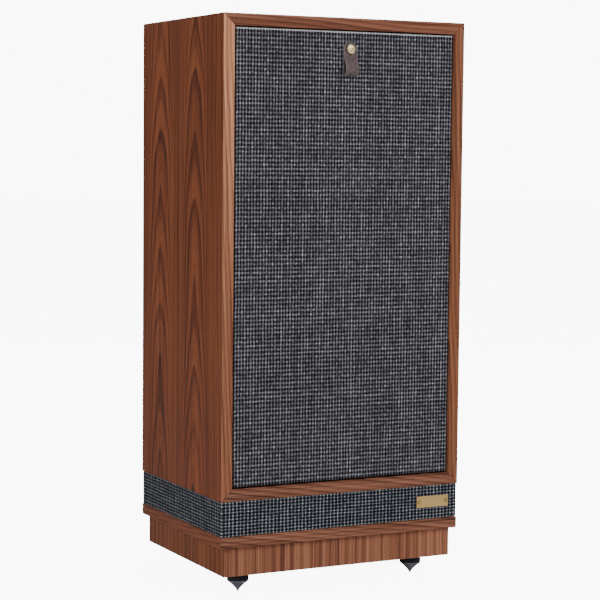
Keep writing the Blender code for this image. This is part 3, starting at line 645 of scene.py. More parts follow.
def make_base(rail):
    ends = walnut("walnut_base_ends", "y", "z", toned(VENEER, 0.95, 1.0, 1.1), slope=0.10, warp=1.2)
    plate = refined("base_plate", "base_board", rail, 0.0006, outer=(ends, 0, 0))
    settle(plate, "cabinet", "walnut_solid", "base_plate")
    strips = dict(slope=0.003, warp=0.25, strips=0.30, period=0.020, contrast=0.78)
    wide = walnut("walnut_plinth_front", "z", "x", toned(VENEER, 1.35, 2.0, 3.2), **strips)
    deep = walnut("walnut_plinth_side", "z", "y", toned(VENEER, 1.1, 1.2, 1.2), **strips)
    for name, look in (("front", wide), ("back", wide), ("left", deep), ("right", deep)):
        wall = refined(f"plinth_{name}", f"plinth_wall_{name}", look, 0.0008)
        settle(wall, "cabinet", "walnut_strips", f"plinth_{name}")
    board = mottled(
        "bare_board", (0.42, 0.30, 0.19), (0.24, 0.16, 0.09), 220, 0.8, bump=0.0003, Specular_IOR_Level=0.2
    )
    for node in ("plinth_board", "window_brace"):
        paint(node, board)


def paint(node, look):
    """Gives a CAD node a finish of its own."""
    mesh = NODES[node].data
    mesh.materials.clear()
    mesh.materials.append(look)


# Cloth


TWEED = (
    (0.0, (0.0030, 0.0030, 0.0048)),
    (0.30, (0.047, 0.046, 0.058)),
    (0.70, (0.235, 0.232, 0.262)),
    (1.0, (0.600, 0.595, 0.620)),
)

BAND_TWEED = (
    (0.0, (0.0030, 0.0046, 0.0085)),
    (0.30, (0.030, 0.037, 0.052)),
    (0.70, (0.200, 0.208, 0.230)),
    (1.0, (0.620, 0.610, 0.600)),
)


def rounded_loop(half_x, half_y, radius, steps=5):
    """The outline of a rectangle with round corners."""
    points = []
    for quarter, (sx, sy) in enumerate(((1, 1), (-1, 1), (-1, -1), (1, -1))):
        for step in range(steps + 1):
            angle = math.pi / 2 * (quarter + step / steps)
            x = sx * (half_x - radius) + radius * math.cos(angle)
            y = sy * (half_y - radius) + radius * math.sin(angle)
            points.append((x, y))
    return points


def make_grille_cloth():
    """Cloth pulled over the grille frame: flat in front, round at the edges and turned down its sides."""
    low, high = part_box("grille_cloth")
    half_x, half_z = (high.x - low.x) / 2, (high.z - low.z) / 2
    middle_z = (high.z + low.z) / 2
    radius, turn_down, thick, pitch = 0.0032, 0.0195, 0.0009, 0.0055

    def lines(half):
        """How far out, and how deep behind the front, each line of the cloth lies."""
        flat = np.linspace(0, half - radius, int((half - radius) / pitch) + 1)
        angles = np.linspace(0, math.pi / 2, 6)[1:]
        bend = [(half - radius + radius * math.sin(a), radius * (1 - math.cos(a))) for a in angles]
        wall = [(half, d) for d in np.linspace(radius, turn_down, 5)[1:]]
        side = [(float(f), 0.0) for f in flat] + bend + wall
        return [(-x, d) for x, d in reversed(side[1:])] + side

    across, along = lines(half_x), lines(half_z)
    shape = bmesh.new()
    grid = []
    for z, dz in along:
        row = []
        for x, dx in across:
            depth = max(dx, dz)
            if dx > 0 and dz > 0:
                depth = min(math.hypot(dx, dz), turn_down)
            ripple = 0.00018 * math.sin(x * 37 + z * 11) * math.sin(z * 29 - x * 7)
            row.append(shape.verts.new((x, CLOTH_FRONT + depth + max(0.0, ripple), middle_z + z)))
        grid.append(row)
    skin(shape, grid)
    # edge sets where the painted highlight along the cloth's top fold begins.
    look = tweed(
        "tweed_grille", lambda x, y, z: x, lambda x, y, z: z + y, (0.0064, 0.0082),
        (0.54, 0.54), 0.42, 0.25, TWEED, edge=HEIGHT - 0.0228 - 0.003,
    )
    cloth = mesh_object("grille_tweed", shape, look, 80)
    thicken(cloth, thick)
    settle(cloth, "grille", "grille_cloth", "grille_cloth")


def make_band_cloth():
    low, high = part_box("band_cloth")
    shape = bmesh.new()
    loop = rounded_loop((high.x - low.x) / 2, (high.y - low.y) / 2, 0.003)
    fine = []
    for (x0, y0), (x1, y1) in zip(loop, loop[1:] + loop[:1]):
        steps = max(1, round(math.hypot(x1 - x0, y1 - y0) / 0.006))
        fine += [(x0 + (x1 - x0) * s / steps, y0 + (y1 - y0) * s / steps) for s in range(steps)]
    edge = 0.0008
    rows = []
    levels = [(low.z, edge), (low.z + edge * 0.4, edge * 0.25), (low.z + edge, 0)]
    levels += [(z, 0) for z in np.linspace(low.z + 0.004, high.z - 0.004, 12)]
    levels += [(high.z - edge, 0), (high.z - edge * 0.4, edge * 0.25), (high.z, edge)]
    for z, inset in levels:
        row = []
        for x, y in fine:
            pull = 1 - inset / math.hypot(x, y)
            row.append(shape.verts.new((x * pull, y * pull, z)))
        rows.append(row)
    skin(shape, rows, around=True)
    look = tweed(
        "tweed_band", lambda x, y, z: x + y, lambda x, y, z: z, (0.0078, 0.0064), (0.46, 0.50), 0.50, 0.75,
        BAND_TWEED,
    )
    cloth = mesh_object("band_tweed", shape, look, 80)
    thicken(cloth, 0.0014)
    settle(cloth, "cabinet", "band_cloth", "band_cloth")


# Leather tab and its stud


LEATHER = 0.0022
STRAP_BACK = CLOTH_FRONT - GAP


def strap_line(hinge):
    """The strap's middle as seen from its side, in (y, z) points: down the cloth, round the loop and up."""
    drop, top = 0.0345, STUD_Z + 0.0135
    near, far = STRAP_BACK - LEATHER / 2, STRAP_BACK - 1.5 * LEATHER - 0.0001
    loop = (
        (0.0001, 0.35), (0.0003, 0.72), (0.0022, 0.93), (0.0058, 1.0), (0.0096, 0.93), (0.0121, 0.72),
        (0.0110, 0.42), (0.0062, 0.14),
    )
    way = [(near, top), (near, STUD_Z), (near, hinge)]
    way += [(near - out, hinge - share * drop) for out, share in loop]
    way += [(far, hinge + 0.0008), (far, STUD_Z - 0.006), (far, top)]
    return smooth_line(way, 110)


def make_tab():
    """One strap, folded into a loop, with both of its round ends under the stud."""
    half, corner, round_end = 0.0140, 0.0009, 0.0115
    hinge = STUD_Z - 0.0155
    line = strap_line(hinge)
    lengths = np.concatenate(([0], np.cumsum(np.linalg.norm(np.diff(line, axis=0), axis=1))))
    shape = bmesh.new()
    uv_layer = shape.loops.layers.uv.new("strap")
    rings, spot_of = [], {}
    for index, (y, z) in enumerate(line):
        before, after = line[max(index - 1, 0)], line[min(index + 1, len(line) - 1)]
        along = Vector((0, after[0] - before[0], after[1] - before[1])).normalized()
        out = Vector((1, 0, 0)).cross(along)
        short = round_end - min(lengths[index], lengths[-1] - lengths[index])
        width = half
        if short > 0:
            width = half - round_end + math.sqrt(max(round_end**2 - short**2, 0.0))
        ring = []
        for x, rise in rounded_loop(width, LEATHER / 2, corner, 4):
            vert = shape.verts.new(Vector((STUD_X + x, y, z)) + out * rise)
            spot_of[vert] = (x * half / max(width, 0.001), lengths[index])
            ring.append(vert)
        rings.append(ring)
    skin(shape, rings, around=True)
    shape.faces.new(rings[0])
    shape.faces.new(list(reversed(rings[-1])))
    for face in shape.faces:
        for loop in face.loops:
            loop[uv_layer].uv = spot_of[loop.vert]
    tab = mesh_object("pull_tab_strap", shape, leather("leather_tab"), 60)
    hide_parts("pull_tab_root", "pull_tab_loop")
    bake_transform(tab)


def make_stud():
    """A turned brass head with a ring round its middle, on a pin through the strap and the cloth."""
    radius, pin, depth = 0.0103, 0.003, -2 * LEATHER - 0.0112
    head = (
        (0.0, 0.0042), (0.18, 0.0042), (0.24, 0.0038), (0.30, 0.0042), (0.62, 0.0038), (0.70, 0.0031),
        (0.76, 0.0034), (0.88, 0.0028), (0.97, 0.0018), (1.0, 0.0008), (1.0, 0.0),
    )
    profile = [(radius * share, lift) for share, lift in head] + [(pin, 0.0), (pin, depth), (0, depth)]
    # Painted shade: the stud's outer dark ring darkens the sloping rim of its head; the inner ring is a dark
    # line in the groove near its middle.
    brass = turned_metal(
        "stud_brass", (0.98, 0.84, 0.52), (0.78, 0.60, 0.30), (STUD_X, STUD_Z), 0.32, 0.0011,
        dark_rings=((0.0016, 0.0026), (0.0086, 0.0110)),
    )
    place = (STUD_X, STRAP_BACK - 2 * LEATHER - GAP, STUD_Z)
    stud = turned("tab_stud", profile, place, FORWARD, brass, 48, ease=0.0003)
    settle(stud, "grille", "brass", "pull_tab_stud")


def smooth_line(points, count):
    """Evenly spaced points on a smooth curve through the given ones."""
    points = np.array(points, float)
    padded = np.vstack((2 * points[0] - points[1], points, 2 * points[-1] - points[-2]))
    fine = []
    for a, b, c, d in zip(padded, padded[1:], padded[2:], padded[3:]):
        for t in np.linspace(0, 1, 24, endpoint=False):
            fine.append(
                0.5 * (2 * b + (c - a) * t + (2 * a - 5 * b + 4 * c - d) * t**2
                       + (3 * b - a - 3 * c + d) * t**3)
            )
    fine = np.array(fine + [points[-1]])
    lengths = np.concatenate(([0], np.cumsum(np.linalg.norm(np.diff(fine, axis=0), axis=1))))
    spots = np.linspace(0, lengths[-1], count)
    return np.column_stack([np.interp(spots, lengths, fine[:, k]) for k in range(fine.shape[1])])


# Badge and feet


def make_badge():
    low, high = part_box("badge_plate")
    # Painted shade: a dark ring on the plate round each screw head.
    rings = [(x, (low.z + high.z) / 2, 0.0024, 0.0038) for x in (low.x + 0.0055, high.x - 0.0055)]
    brass = mottled(
        "badge_brass", (0.80, 0.55, 0.24), (0.62, 0.40, 0.15), 2600, 0.36, 1.0, bump=0.00004,
        stretch=(0.02, 1, 1), rings=rings,
    )
    polished = mottled("screw_brass", (1.0, 0.76, 0.30), (0.90, 0.62, 0.20), 1500, 0.30, 1.0, bump=0.00002)
    shape = bmesh.new()
    slab(shape, low, high, 0.0006)
    settle(mesh_object("badge_blank", shape, brass, 40), "cabinet", "brass", "badge_plate")
    for name, angle in (("left", 0.5), ("right", 2.1)):
        low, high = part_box(f"badge_screw_{name}")
        centre, radius = (low + high) / 2, (high.x - low.x) / 2
        shape = bmesh.new()
        profile = [(0, 0.0012), (radius * 0.72, 0.00105), (radius, 0.0004), (radius, 0), (0, 0)]
        place = Matrix.Translation((centre.x, high.y, centre.z))
        lathe(shape, eased(profile, 0.0002), place @ FORWARD, 24)
        screw = mesh_object(f"badge_slotted_screw_{name}", shape, polished, 40)
        slot_in(screw, (centre.x, low.y, centre.z), (radius * 3, 0.0010, 0.0005), angle)
        settle(screw, "cabinet", "brass", f"badge_screw_{name}")


def slot_in(thing, place, size, angle):
    """Cuts a straight slot into a screw head that faces along Y."""
    shape = bmesh.new()
    turn = Matrix.Translation(place) @ Matrix.Rotation(angle, 4, "Y")
    half = [s / 2 for s in size]
    slab(shape, [-h for h in half], half, 0.00005, turn)
    carve(thing, shape)


def make_feet():
    gunmetal = Look("gunmetal", 0.36, 0.85)
    x, y, z = gunmetal.place()
    cloud = gunmetal.noise(x * 500, y * 500, z * 500, 3.0)
    cone = gunmetal.ramp(cloud, (0.3, (0.170, 0.182, 0.225)), (0.7, (0.300, 0.320, 0.385)))
    gunmetal.paint(gunmetal.mix(z.step(0.0228, 0.0236) * 0.93, cone, (0.010, 0.010, 0.012)))
    gunmetal.bump(cloud, 0.00003)
    radius, tip, cone, top = 0.0213, 0.0015, 0.022, 0.0427
    flank = [
        (tip + (radius - 0.0008 - tip) * (s / 14) ** 1.45, (cone - 0.0010) * s / 14) for s in range(15)
    ]
    groove = cone + 0.0085
    profile = [
        (0, top + 0.018), (0.005, top + 0.018), (0.005, top), (radius, top), (radius, groove + 0.0006),
        (radius - 0.0012, groove), (radius, groove - 0.0006), (radius, cone), *reversed(flank), (0, 0),
    ]
    for side in ("front_left", "front_right", "back_left", "back_right"):
        low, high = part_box(f"foot_{side}")
        place = ((low.x + high.x) / 2, (low.y + high.y) / 2, low.z)
        foot = turned(f"spike_{side}", profile, place, UPWARD, gunmetal.material, 48, ease=0.0005)
        settle(foot, f"foot_{side}", "gunmetal", f"foot_{side}")


# Driver


def driver_piece(name, profile, look, body, slot, node, segments=144, ring=True, ease=0.0004):
    piece = turned(name, profile, DRIVER, FORWARD, look, segments, ring, ease)
    return settle(piece, body, slot, node)


def screws(name, places, facing, radius, look):
    """Cap screws with a round socket, all in one piece."""
    heights = ((0, 0.3), (0.42, 0.3), (0.50, 0.62), (0.88, 0.62), (1.0, 0.45), (1.0, 0), (0, 0))
    profile = eased([(radius * share, radius * lift) for share, lift in heights], radius * 0.06)
    shape = bmesh.new()
    for place in places:
        lathe(shape, profile, Matrix.Translation(place) @ facing, 24)
    return settle(mesh_object(name, shape, look, 40), "cabinet", "gunmetal")


def make_basket(cast, gunmetal):
    rim, back, shoulder = 0.1575, -0.1102, 0.1450
    profile = [
        (rim - 0.0008, 0), (rim, -0.0008), (rim, -0.006), (shoulder, -0.006), (shoulder, -0.020),
        (0.0850, -0.0780), (0.0780, -0.0860), (0.0780, back), (0.0480, back), (0.0480, back + 0.004),
        (0.0750, back + 0.004), (0.0750, -0.0960), (0.0670, -0.0960), (0.0670, -0.0930),
        (0.0750, -0.0930), (0.0750, -0.0850), (0.0820, -0.0750), (0.1385, -0.0170), (0.1385, -0.0035),
        (0.1465, -0.0035), (0.1465, -0.0006), (0.1471, 0),
    ]
    basket = turned("cast_basket", profile, DRIVER, FORWARD, cast, 144, True, 0)
    shape = bmesh.new()
    for index in range(6):
        angle = 2 * math.pi * (index + 0.5) / 6
        spot = DRIVER + Vector((0.130 * math.sin(angle), 0.052, 0.130 * math.cos(angle)))
        turn = Matrix.Translation(spot) @ Matrix.Rotation(angle, 4, "Y")
        slab(shape, (-0.030, -0.0253, -0.036), (0.030, 0.0253, 0.036), 0.006, turn)
    carve(basket, shape)
    settle(basket, "cabinet", "cast_alloy", "driver_basket")
    angles = [2 * math.pi * (index + 0.5) / 8 for index in range(8)]
    places = [DRIVER + Vector((0.152 * math.sin(a), -0.0001, 0.152 * math.cos(a))) for a in angles]
    screws("driver_screws", places, FORWARD, 0.0030, gunmetal)


def flexing(name, profile, look, node):
    """A ring that in the driver is held at one radius and moved by the cone at the other; here it is turned,
    put in place and rides on no body.
    """
    piece = turned(name, profile, DRIVER, FORWARD, look, 144, True, 0)
    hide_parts(node)
    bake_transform(piece)


def cone_height(radius):
    share = (radius - 0.0286) / (0.1213 - 0.0286)
    return -0.0720 + 0.0698 * max(share, 0.0) ** 0.9


def make_cone():
    paper = Look("cone_paper", 0.8, Specular_IOR_Level=0.2)
    x, y, z = paper.place()
    dx, dz = x, z - DRIVER.z
    radius, angle = (dx * dx + dz * dz).root(), dz.math("ARCTAN2", dx)
    fibre = paper.noise(dx * 500, y * 500, dz * 500, 4.0, 0.65)
    cloud = paper.noise(angle * 3, radius * 60, 0.0, 2.0)
    mix = fibre * 0.65 + cloud * 0.35
    paper.paint(paper.ramp(mix, (0.3, (0.024, 0.022, 0.020)), (0.7, (0.075, 0.070, 0.064))))
    paper.bump(fibre, 0.0003, 0.8)
    rim, neck, thick, ribs = 0.1213, 0.0288, 0.0013, (0.052, 0.064, 0.076, 0.088, 0.100)
    radii = np.linspace(rim, neck, 90)
    over = []
    for r in reversed(radii):
        rise = sum(0.0006 * math.exp(-(((r - rib) / 0.0011) ** 2)) for rib in ribs)
        over.append((r, cone_height(r) + rise))
    profile = [(r, cone_height(r) - thick) for r in radii] + over
    driver_piece("paper_cone", profile, paper.material, "cone", "paper", "driver_cone", ease=0)


def make_surround():
    """A half roll of rubber from the basket's rim to a hem glued on the cone."""
    rubber = mottled("soft_rubber", (0.026, 0.026, 0.027), (0.014, 0.014, 0.015), 800, 0.55, bump=0.00003)
    rim, low, thick, middle, roll = 0.1460, -0.0032, 0.0010, 0.1299, 0.0082

    def face(radius, height, lift):
        """One side of the rubber: its flat rim, its roll and its hem."""
        arch = [(middle + radius * math.cos(a), height + radius * math.sin(a)) for a in
                np.linspace(0, math.pi, 25)]
        hem = [(r, cone_height(r) + lift) for r in np.linspace(0.1208, 0.1180, 4)]
        return [(rim, height)] + arch + hem

    upper, under = face(roll, low + thick, 0.0004 + thick), face(roll - thick, low, 0.0003)
    flexing("half_roll", upper + under[::-1], rubber, "driver_surround")


def make_spider_and_coil():
    amber = Look("spider_weave", 0.85, Specular_IOR_Level=0.2)
    x, y, z = amber.place()
    weave = (x * 5200).sine() * (z * 5200).sine() * 0.5 + 0.5
    cloud = amber.noise(x * 120, y * 120, z * 120, 3.0)
    amber.paint(amber.ramp(weave * 0.5 + cloud * 0.5, (0.2, (0.20, 0.11, 0.035)), (0.8, (0.46, 0.30, 0.13))))
    amber.bump(weave, 0.0002, 0.7)
    level, thick, foot, neck = -0.0925, 0.0008, 0.0662, 0.0288
    line = [(0.0738, level), (foot, level)]
    for r in np.linspace(foot - 0.0008, neck, 60):
        line.append((r, level + 0.0020 - 0.0014 * math.cos(2 * math.pi * 4 * (foot - r) / (foot - neck))))
    profile = line + [(r, h + thick) for r, h in reversed(line)]
    flexing("pleated_spider", profile, amber.material, "driver_spider")

    copper = wound("coil_copper", (0, DRIVER.z), "y", 0.0006)
    profile = [(0.0286, -0.0715), (0.0286, -0.1150), (0.0270, -0.1150), (0.0270, -0.0715)]
    driver_piece("wound_coil", profile, copper, "cone", "copper", "driver_voice_coil", 96, ease=0.0002)


def wound(name, centre, axis, pitch):
    """Copper wire laid side by side round an axis."""
    look = Look(name, 0.3, 1.0)
    place = dict(zip(AXES, look.place()))
    across = place.pop(axis)
    first, second = (value - middle for value, middle in zip(place.values(), centre))
    radius = (first * first + second * second).root()
    turn = (across * (2 * math.pi / pitch)).sine() * 0.5 + (radius * (2 * math.pi / pitch)).sine() * 0.5
    shade = look.noise(across * 300, radius * 300, 0.0, 2.0)
    look.paint(look.ramp(turn * 0.3 + shade * 0.6, (0.1, (0.36, 0.13, 0.055)), (0.7, (0.74, 0.34, 0.17))))
    look.rough(shade * 0.2 + 0.2)
    look.bump(turn, 0.0002, 0.9)
    return look.material


def make_motor():
    centre = (0, DRIVER.z)
    steel = turned_metal("turned_steel", (0.56, 0.56, 0.58), (0.36, 0.36, 0.38), centre, 0.34)
    horn = turned_metal("satin_alloy", (0.50, 0.50, 0.52), (0.34, 0.34, 0.36), centre, 0.30, 0.0010)
    ferrite = mottled("sintered_ferrite", (0.040, 0.040, 0.042), (0.018, 0.018, 0.019), 900, 0.6, bump=0.0001)

    wall = 0.0020
    inner = smooth_line(
        [(0.0125, -0.1480), (0.0140, -0.1300), (0.0165, -0.1100), (0.0200, -0.0880), (0.0240, -0.0680),
         (0.0250, -0.0610), (0.0310, -0.0500), (0.0405, -0.0383)], 40,
    )
    outer = [(r + wall, h - 0.0004) for r, h in inner[:-1]] + [(0.0424, -0.0390)]
    lip = [(0.0428, -0.0386), (0.0426, -0.0381), (0.0418, -0.0380)]
    profile = outer + lip + [tuple(point) for point in inner[::-1]]
    driver_piece("horn_waveguide", profile, horn, "cabinet", "horn_alloy", "driver_waveguide", 128, ease=0)

    plate = [(0.0760, -0.1105), (0.0760, -0.1185), (0.0293, -0.1185), (0.0293, -0.1105)]
    driver_piece(
        "motor_front_plate", plate, steel, "cabinet", "motor_steel", "driver_front_plate", ease=0.0008
    )
    magnet = [(0.0850, -0.1188), (0.0850, -0.1388), (0.0400, -0.1388), (0.0400, -0.1188)]
    driver_piece("motor_magnet", magnet, ferrite, "cabinet", "ferrite", "driver_magnet", ease=0.0012)
    front, back = -0.1391, -0.1491
    profile = [
        (0.0263, -0.1105), (0.0263, front), (0.0800, front), (0.0800, back), (0.0156, back),
        (0.0156, front), (0.0190, front + 0.006), (0.0190, -0.1105),
    ]
    driver_piece(
        "motor_back_plate", profile, steel, "cabinet", "motor_steel", "driver_back_plate", ease=0.0006
    )


def make_treble_unit():
    """The dome behind the magnet, in its housing."""
    shell = mottled("housing_paint", (0.035, 0.035, 0.036), (0.020, 0.020, 0.021), 700, 0.45, bump=0.00005)
    foil = turned_metal(
        "titanium_foil", (0.52, 0.50, 0.48), (0.38, 0.37, 0.36), (0, DRIVER.z), 0.26, 0.0008
    )
    front, outer, inner, deep = -0.1494, 0.0550, 0.0510, 0.042
    rim, groove = front - 0.0150, 0.0025
    profile = [
        (0, front - deep + 0.004), (inner, front - deep + 0.004), (inner, rim - groove),
        (0.0379, rim - groove), (0.0379, rim + groove), (inner, rim + groove), (inner, front),
        (outer, front), (outer, front - 0.030), (outer - 0.0015, front - 0.031), (outer, front - 0.032),
        (outer, front - deep), (0, front - deep),
    ]
    driver_piece(
        "treble_housing", profile, shell, "cabinet", "black_plastic", "hf_housing", 96, False, 0.0005
    )
    bowl = [(0.0375 * s, rim - 0.0100 * (1 - s**2)) for s in np.linspace(0, 1, 16)]
    profile = [(r, h + 0.0006) for r, h in bowl] + bowl[::-1]
    driver_piece("treble_dome", profile, foil, "hf_dome", "titanium", "hf_diaphragm", 96, False, 0)


# Front board, grille frame and controls


def knurl(thing, centre, low, high, radius, count, depth):
    """Presses grooves into the round wall between two depths along Y."""
    for vert in thing.data.vertices:
        dx, dz = vert.co.x - centre[0], vert.co.z - centre[1]
        far = math.hypot(dx, dz)
        if low < vert.co.y < high and far > radius - 0.0002:
            groove = 0.5 - 0.5 * math.cos(count * math.atan2(dz, dx))
            pull = 1 - depth * groove / far
            vert.co.x, vert.co.z = centre[0] + dx * pull, centre[1] + dz * pull


def make_front(gunmetal):
    board = mottled("textured_black", (0.030, 0.030, 0.031), (0.015, 0.015, 0.016), 1400, 0.7, bump=0.0003)
    paint("front_baffle", board)
    paint("chamber_frame", board)
    batten = mottled("black_batten", (0.034, 0.033, 0.033), (0.018, 0.018, 0.018), 500, 0.75, bump=0.0002)
    settle(refined("grille_frame", "grille_batten", batten, 0.0012), "grille", "black_paint", "grille_frame")

    shape = bmesh.new()
    profile = [(0, 0.0002), (0.0052, 0.0002), (0.0056, 0), (0, 0)]
    for x in (-0.2237, 0.2237):
        for z in (0.245, 0.600, 1.062):
            place = Matrix.Translation((x, BAFFLE_FRONT - 0.00005, z)) @ FORWARD
            lathe(shape, profile, place, 32)
    settle(mesh_object("grille_catches", shape, gunmetal, 40), "cabinet", "gunmetal")


def make_controls(gunmetal):
    face = BAFFLE_FRONT - GAP - 0.003
    satin = mottled(
        "control_satin", (0.060, 0.060, 0.063), (0.040, 0.040, 0.042), 1800, 0.42, 0.7, bump=0.00004,
        stretch=(0.02, 1, 1),
    )
    plate = refined("control_plate", "dial_plate", satin, 0.0007)
    settle(plate, "cabinet", "black_paint", "control_plate")
    corners = [(x, face - 0.0001, CONTROL_Z + z) for x in (-0.092, 0.092) for z in (-0.023, 0.023)]
    screws("control_screws", corners, FORWARD, 0.0026, gunmetal)

    enamel = mottled("dial_enamel", (0.62, 0.60, 0.55), (0.48, 0.46, 0.42), 900, 0.5)
    shape = bmesh.new()
    for x in KNOBS.values():
        for index in range(11):
            turn = Matrix.Rotation(math.radians(-140 + 28 * index), 4, "Y")
            place = Matrix.Translation((x, face, CONTROL_Z)) @ turn
            reach = 0.0222 if index % 5 == 0 else 0.0208
            slab(shape, (-0.00035, -0.00025, 0.0180), (0.00035, -0.00005, reach), 0.00005, place)
    settle(mesh_object("dial_ticks", shape, enamel, 40), "cabinet", "black_paint")

    profile = [
        (0, 0.0052), (0.0108, 0.0052), (0.0118, 0.0060), (0.0138, 0.0060), (0.0150, 0.0050),
        (0.0150, 0.0042), (0.0150, 0.0008), (0.0144, 0), (0.0030, 0), (0.0030, -0.030), (0, -0.030),
    ]
    for name, x in KNOBS.items():
        place = (x, face - GAP, CONTROL_Z)
        brass = turned_metal(
            f"knob_brass_{name}", (0.80, 0.60, 0.33), (0.60, 0.42, 0.20), (x, CONTROL_Z), 0.28
        )
        knob = turned(f"dial_knob_{name}", profile, place, FORWARD, brass, 240, ease=0.0003)
        knurl(knob, (x, CONTROL_Z), place[1] - 0.0046, place[1] - 0.0004, 0.0150, 60, 0.0005)
        settle(knob, f"knob_{name}", "brass", f"knob_{name}")
        shape = bmesh.new()
        slab(shape, (-0.0008, -0.0057, 0.0030), (0.0008, -0.0051, 0.0104), 0.0001, Matrix.Translation(place))
        settle(mesh_object(f"dial_pointer_{name}", shape, satin, 40), f"knob_{name}", "black_paint")


# Rear terminals


def make_terminals(gunmetal):
    nickel = mottled(
        "brushed_nickel", (0.56, 0.55, 0.54), (0.42, 0.41, 0.40), 2400, 0.36, 1.0, bump=0.00004,
        stretch=(0.02, 1, 1),
    )
    plate = refined("terminal_plate", "terminal_panel", nickel, 0.0008)
    settle(plate, "cabinet", "terminal_metal", "terminal_plate")
    corners = [(x, TERMINAL_BACK + 0.0001, TERMINAL_Z + z) for x in (-0.058, 0.058) for z in (-0.043, 0.043)]
    screws("terminal_screws", corners, BACKWARD, 0.0030, gunmetal)

    gold = mottled("post_brass", (0.84, 0.62, 0.30), (0.66, 0.46, 0.19), 900, 0.24, 1.0, bump=0.00003)
    black = mottled("cap_black", (0.030, 0.030, 0.032), (0.018, 0.018, 0.019), 700, 0.32, bump=0.00003)
    red = mottled("cap_red", (0.46, 0.022, 0.020), (0.30, 0.012, 0.012), 700, 0.32, bump=0.00003)
    stem, wide = 0.0034, 0.0085
    post = [
        (0, 0.0175), (stem - 0.0004, 0.0175), (stem, 0.0171), (stem, 0.0040), (wide - 0.0008, 0.0040),
        (wide, 0.0032), (wide, 0.0008), (wide - 0.0006, 0), (stem, 0), (stem, -0.020), (0, -0.020),
    ]
    cap = [
        (wide - 0.0016, 0.0215), (wide - 0.0004, 0.0205), (wide, 0.0192), (wide, 0.0070),
        (wide - 0.0006, 0.0064), (wide - 0.0006, 0.0058), (wide, 0.0052), (wide, 0.0043),
        (stem + GAP, 0.0043), (stem + GAP, 0.0185), (0.0022, 0.0185), (0.0022, 0.0215),
    ]
    poles = (("minus", -0.030, black, "black_plastic"), ("plus", 0.030, red, "red_plastic"))
    rows = (("high", 0.022), ("low", -0.022))
    for (row, up), (pole, x, look, slot) in itertools.product(rows, poles):
        name, z = f"{row}_{pole}", TERMINAL_Z + up
        place = (x, TERMINAL_BACK + GAP, z)
        piece = turned(f"binding_{name}", post, place, BACKWARD, gold, 48, ease=0.0002)
        settle(piece, "cabinet", "brass", f"post_{name}")
        grip = turned(f"grip_{name}", cap, place, BACKWARD, look, 144, True, ease=0.0003)
        knurl(grip, (x, z), place[1] + 0.0072, place[1] + 0.0190, wide, 24, 0.0007)
        settle(grip, f"cap_{name}", slot, f"cap_{name}")


# Inside the cabinet


def make_wadding():
    """Wool pad against the back board, tufted and rounded at its edges."""
    low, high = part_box("wadding")
    deep = high.y - low.y
    xs = np.linspace(low.x, high.x, 57)
    zs = np.linspace(low.z, high.z, 57)
    shape = bmesh.new()
    rims = []
    for front in (True, False):
        rows = []
        for z in zs:
            row = []
            for x in xs:
                edge = min(x - low.x, high.x - x, z - low.z, high.z - z)
                curve = math.sqrt(max(0.0, 1 - max(0.0, 1 - edge / 0.020) ** 2))
                tuft = math.cos(math.pi * (x - low.x) / 0.0767) * math.cos(math.pi * (z - low.z) / 0.0772)
                lump = 0.0006 * math.sin(x * 190 + z * 70) * math.sin(z * 230 - x * 50)
                full = deep * (0.80 + 0.17 * (1 - abs(tuft)) ** 0.5) + lump
                y = high.y - 0.006 - (full - 0.006) * curve if front else high.y - 0.002 * (1 - curve)
                row.append(shape.verts.new((x, y, z)))
            rows.append(row)
        skin(shape, rows)
        inner = rows[1:-1]
        rims.append(rows[0] + [row[-1] for row in inner] + rows[-1][::-1] + [row[0] for row in inner[::-1]])
    skin(shape, rims, around=True)
    wool = Look("wool_fleece", 0.95, Specular_IOR_Level=0.05, Sheen_Weight=0.4)
    x, y, z = wool.place()
    curl = wool.noise(x * 160, y * 160, z * 160, 5.0, 0.7)
    tuft = wool.noise(x * 28, y * 28, z * 28, 2.0)
    wool.paint(wool.ramp(curl * 0.6 + tuft * 0.4, (0.25, (0.30, 0.29, 0.27)), (0.7, (0.66, 0.64, 0.60))))
    wool.bump(curl, 0.004, 0.9)
    pad = mesh_object("wool_pad", shape, wool.material, 80)
    settle(pad, "cabinet", "wadding", "wadding")


def make_port():
    plastic = mottled("port_plastic", (0.030, 0.030, 0.031), (0.018, 0.018, 0.019), 900, 0.5, bump=0.0001)
    low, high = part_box("port_tube")
    bore, outer, flange, flare = 0.0450, 0.0478, 0.191 + 0.022 + GAP, 0.006
    angles = np.linspace(0, math.pi / 2, 9)
    mouth = [(bore + flare * (1 - math.cos(a)), high.z - 0.012 + 0.012 * math.sin(a)) for a in angles]
    profile = [(r, z) for r, z in reversed(mouth)] + [
        (bore, low.z), (outer, low.z), (outer, flange), (outer + 0.014, flange),
        (outer + 0.014, flange + 0.004), (outer, flange + 0.004), (outer, high.z - 0.012),
        (outer + flare, high.z - 0.002),
    ]
    tube = turned("port_pipe", profile, (0, 0, 0), UPWARD, plastic, 96, True, 0.0006)
    settle(tube, "cabinet", "black_plastic", "port_tube")
    flank = [(0.004 + 0.051 * s**2.2, 0.058 * (1 - s)) for s in np.linspace(0, 1, 20)]
    profile = [(0, 0.0596), *flank[:-1], (0.055, 0.002), (0.055, 0), (0, 0)]
    place = (0, 0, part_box("port_diffuser")[0].z)
    cone = turned("port_cone", profile, place, UPWARD, plastic, 96, ease=0.0003)
    settle(cone, "cabinet", "black_plastic", "port_diffuser")


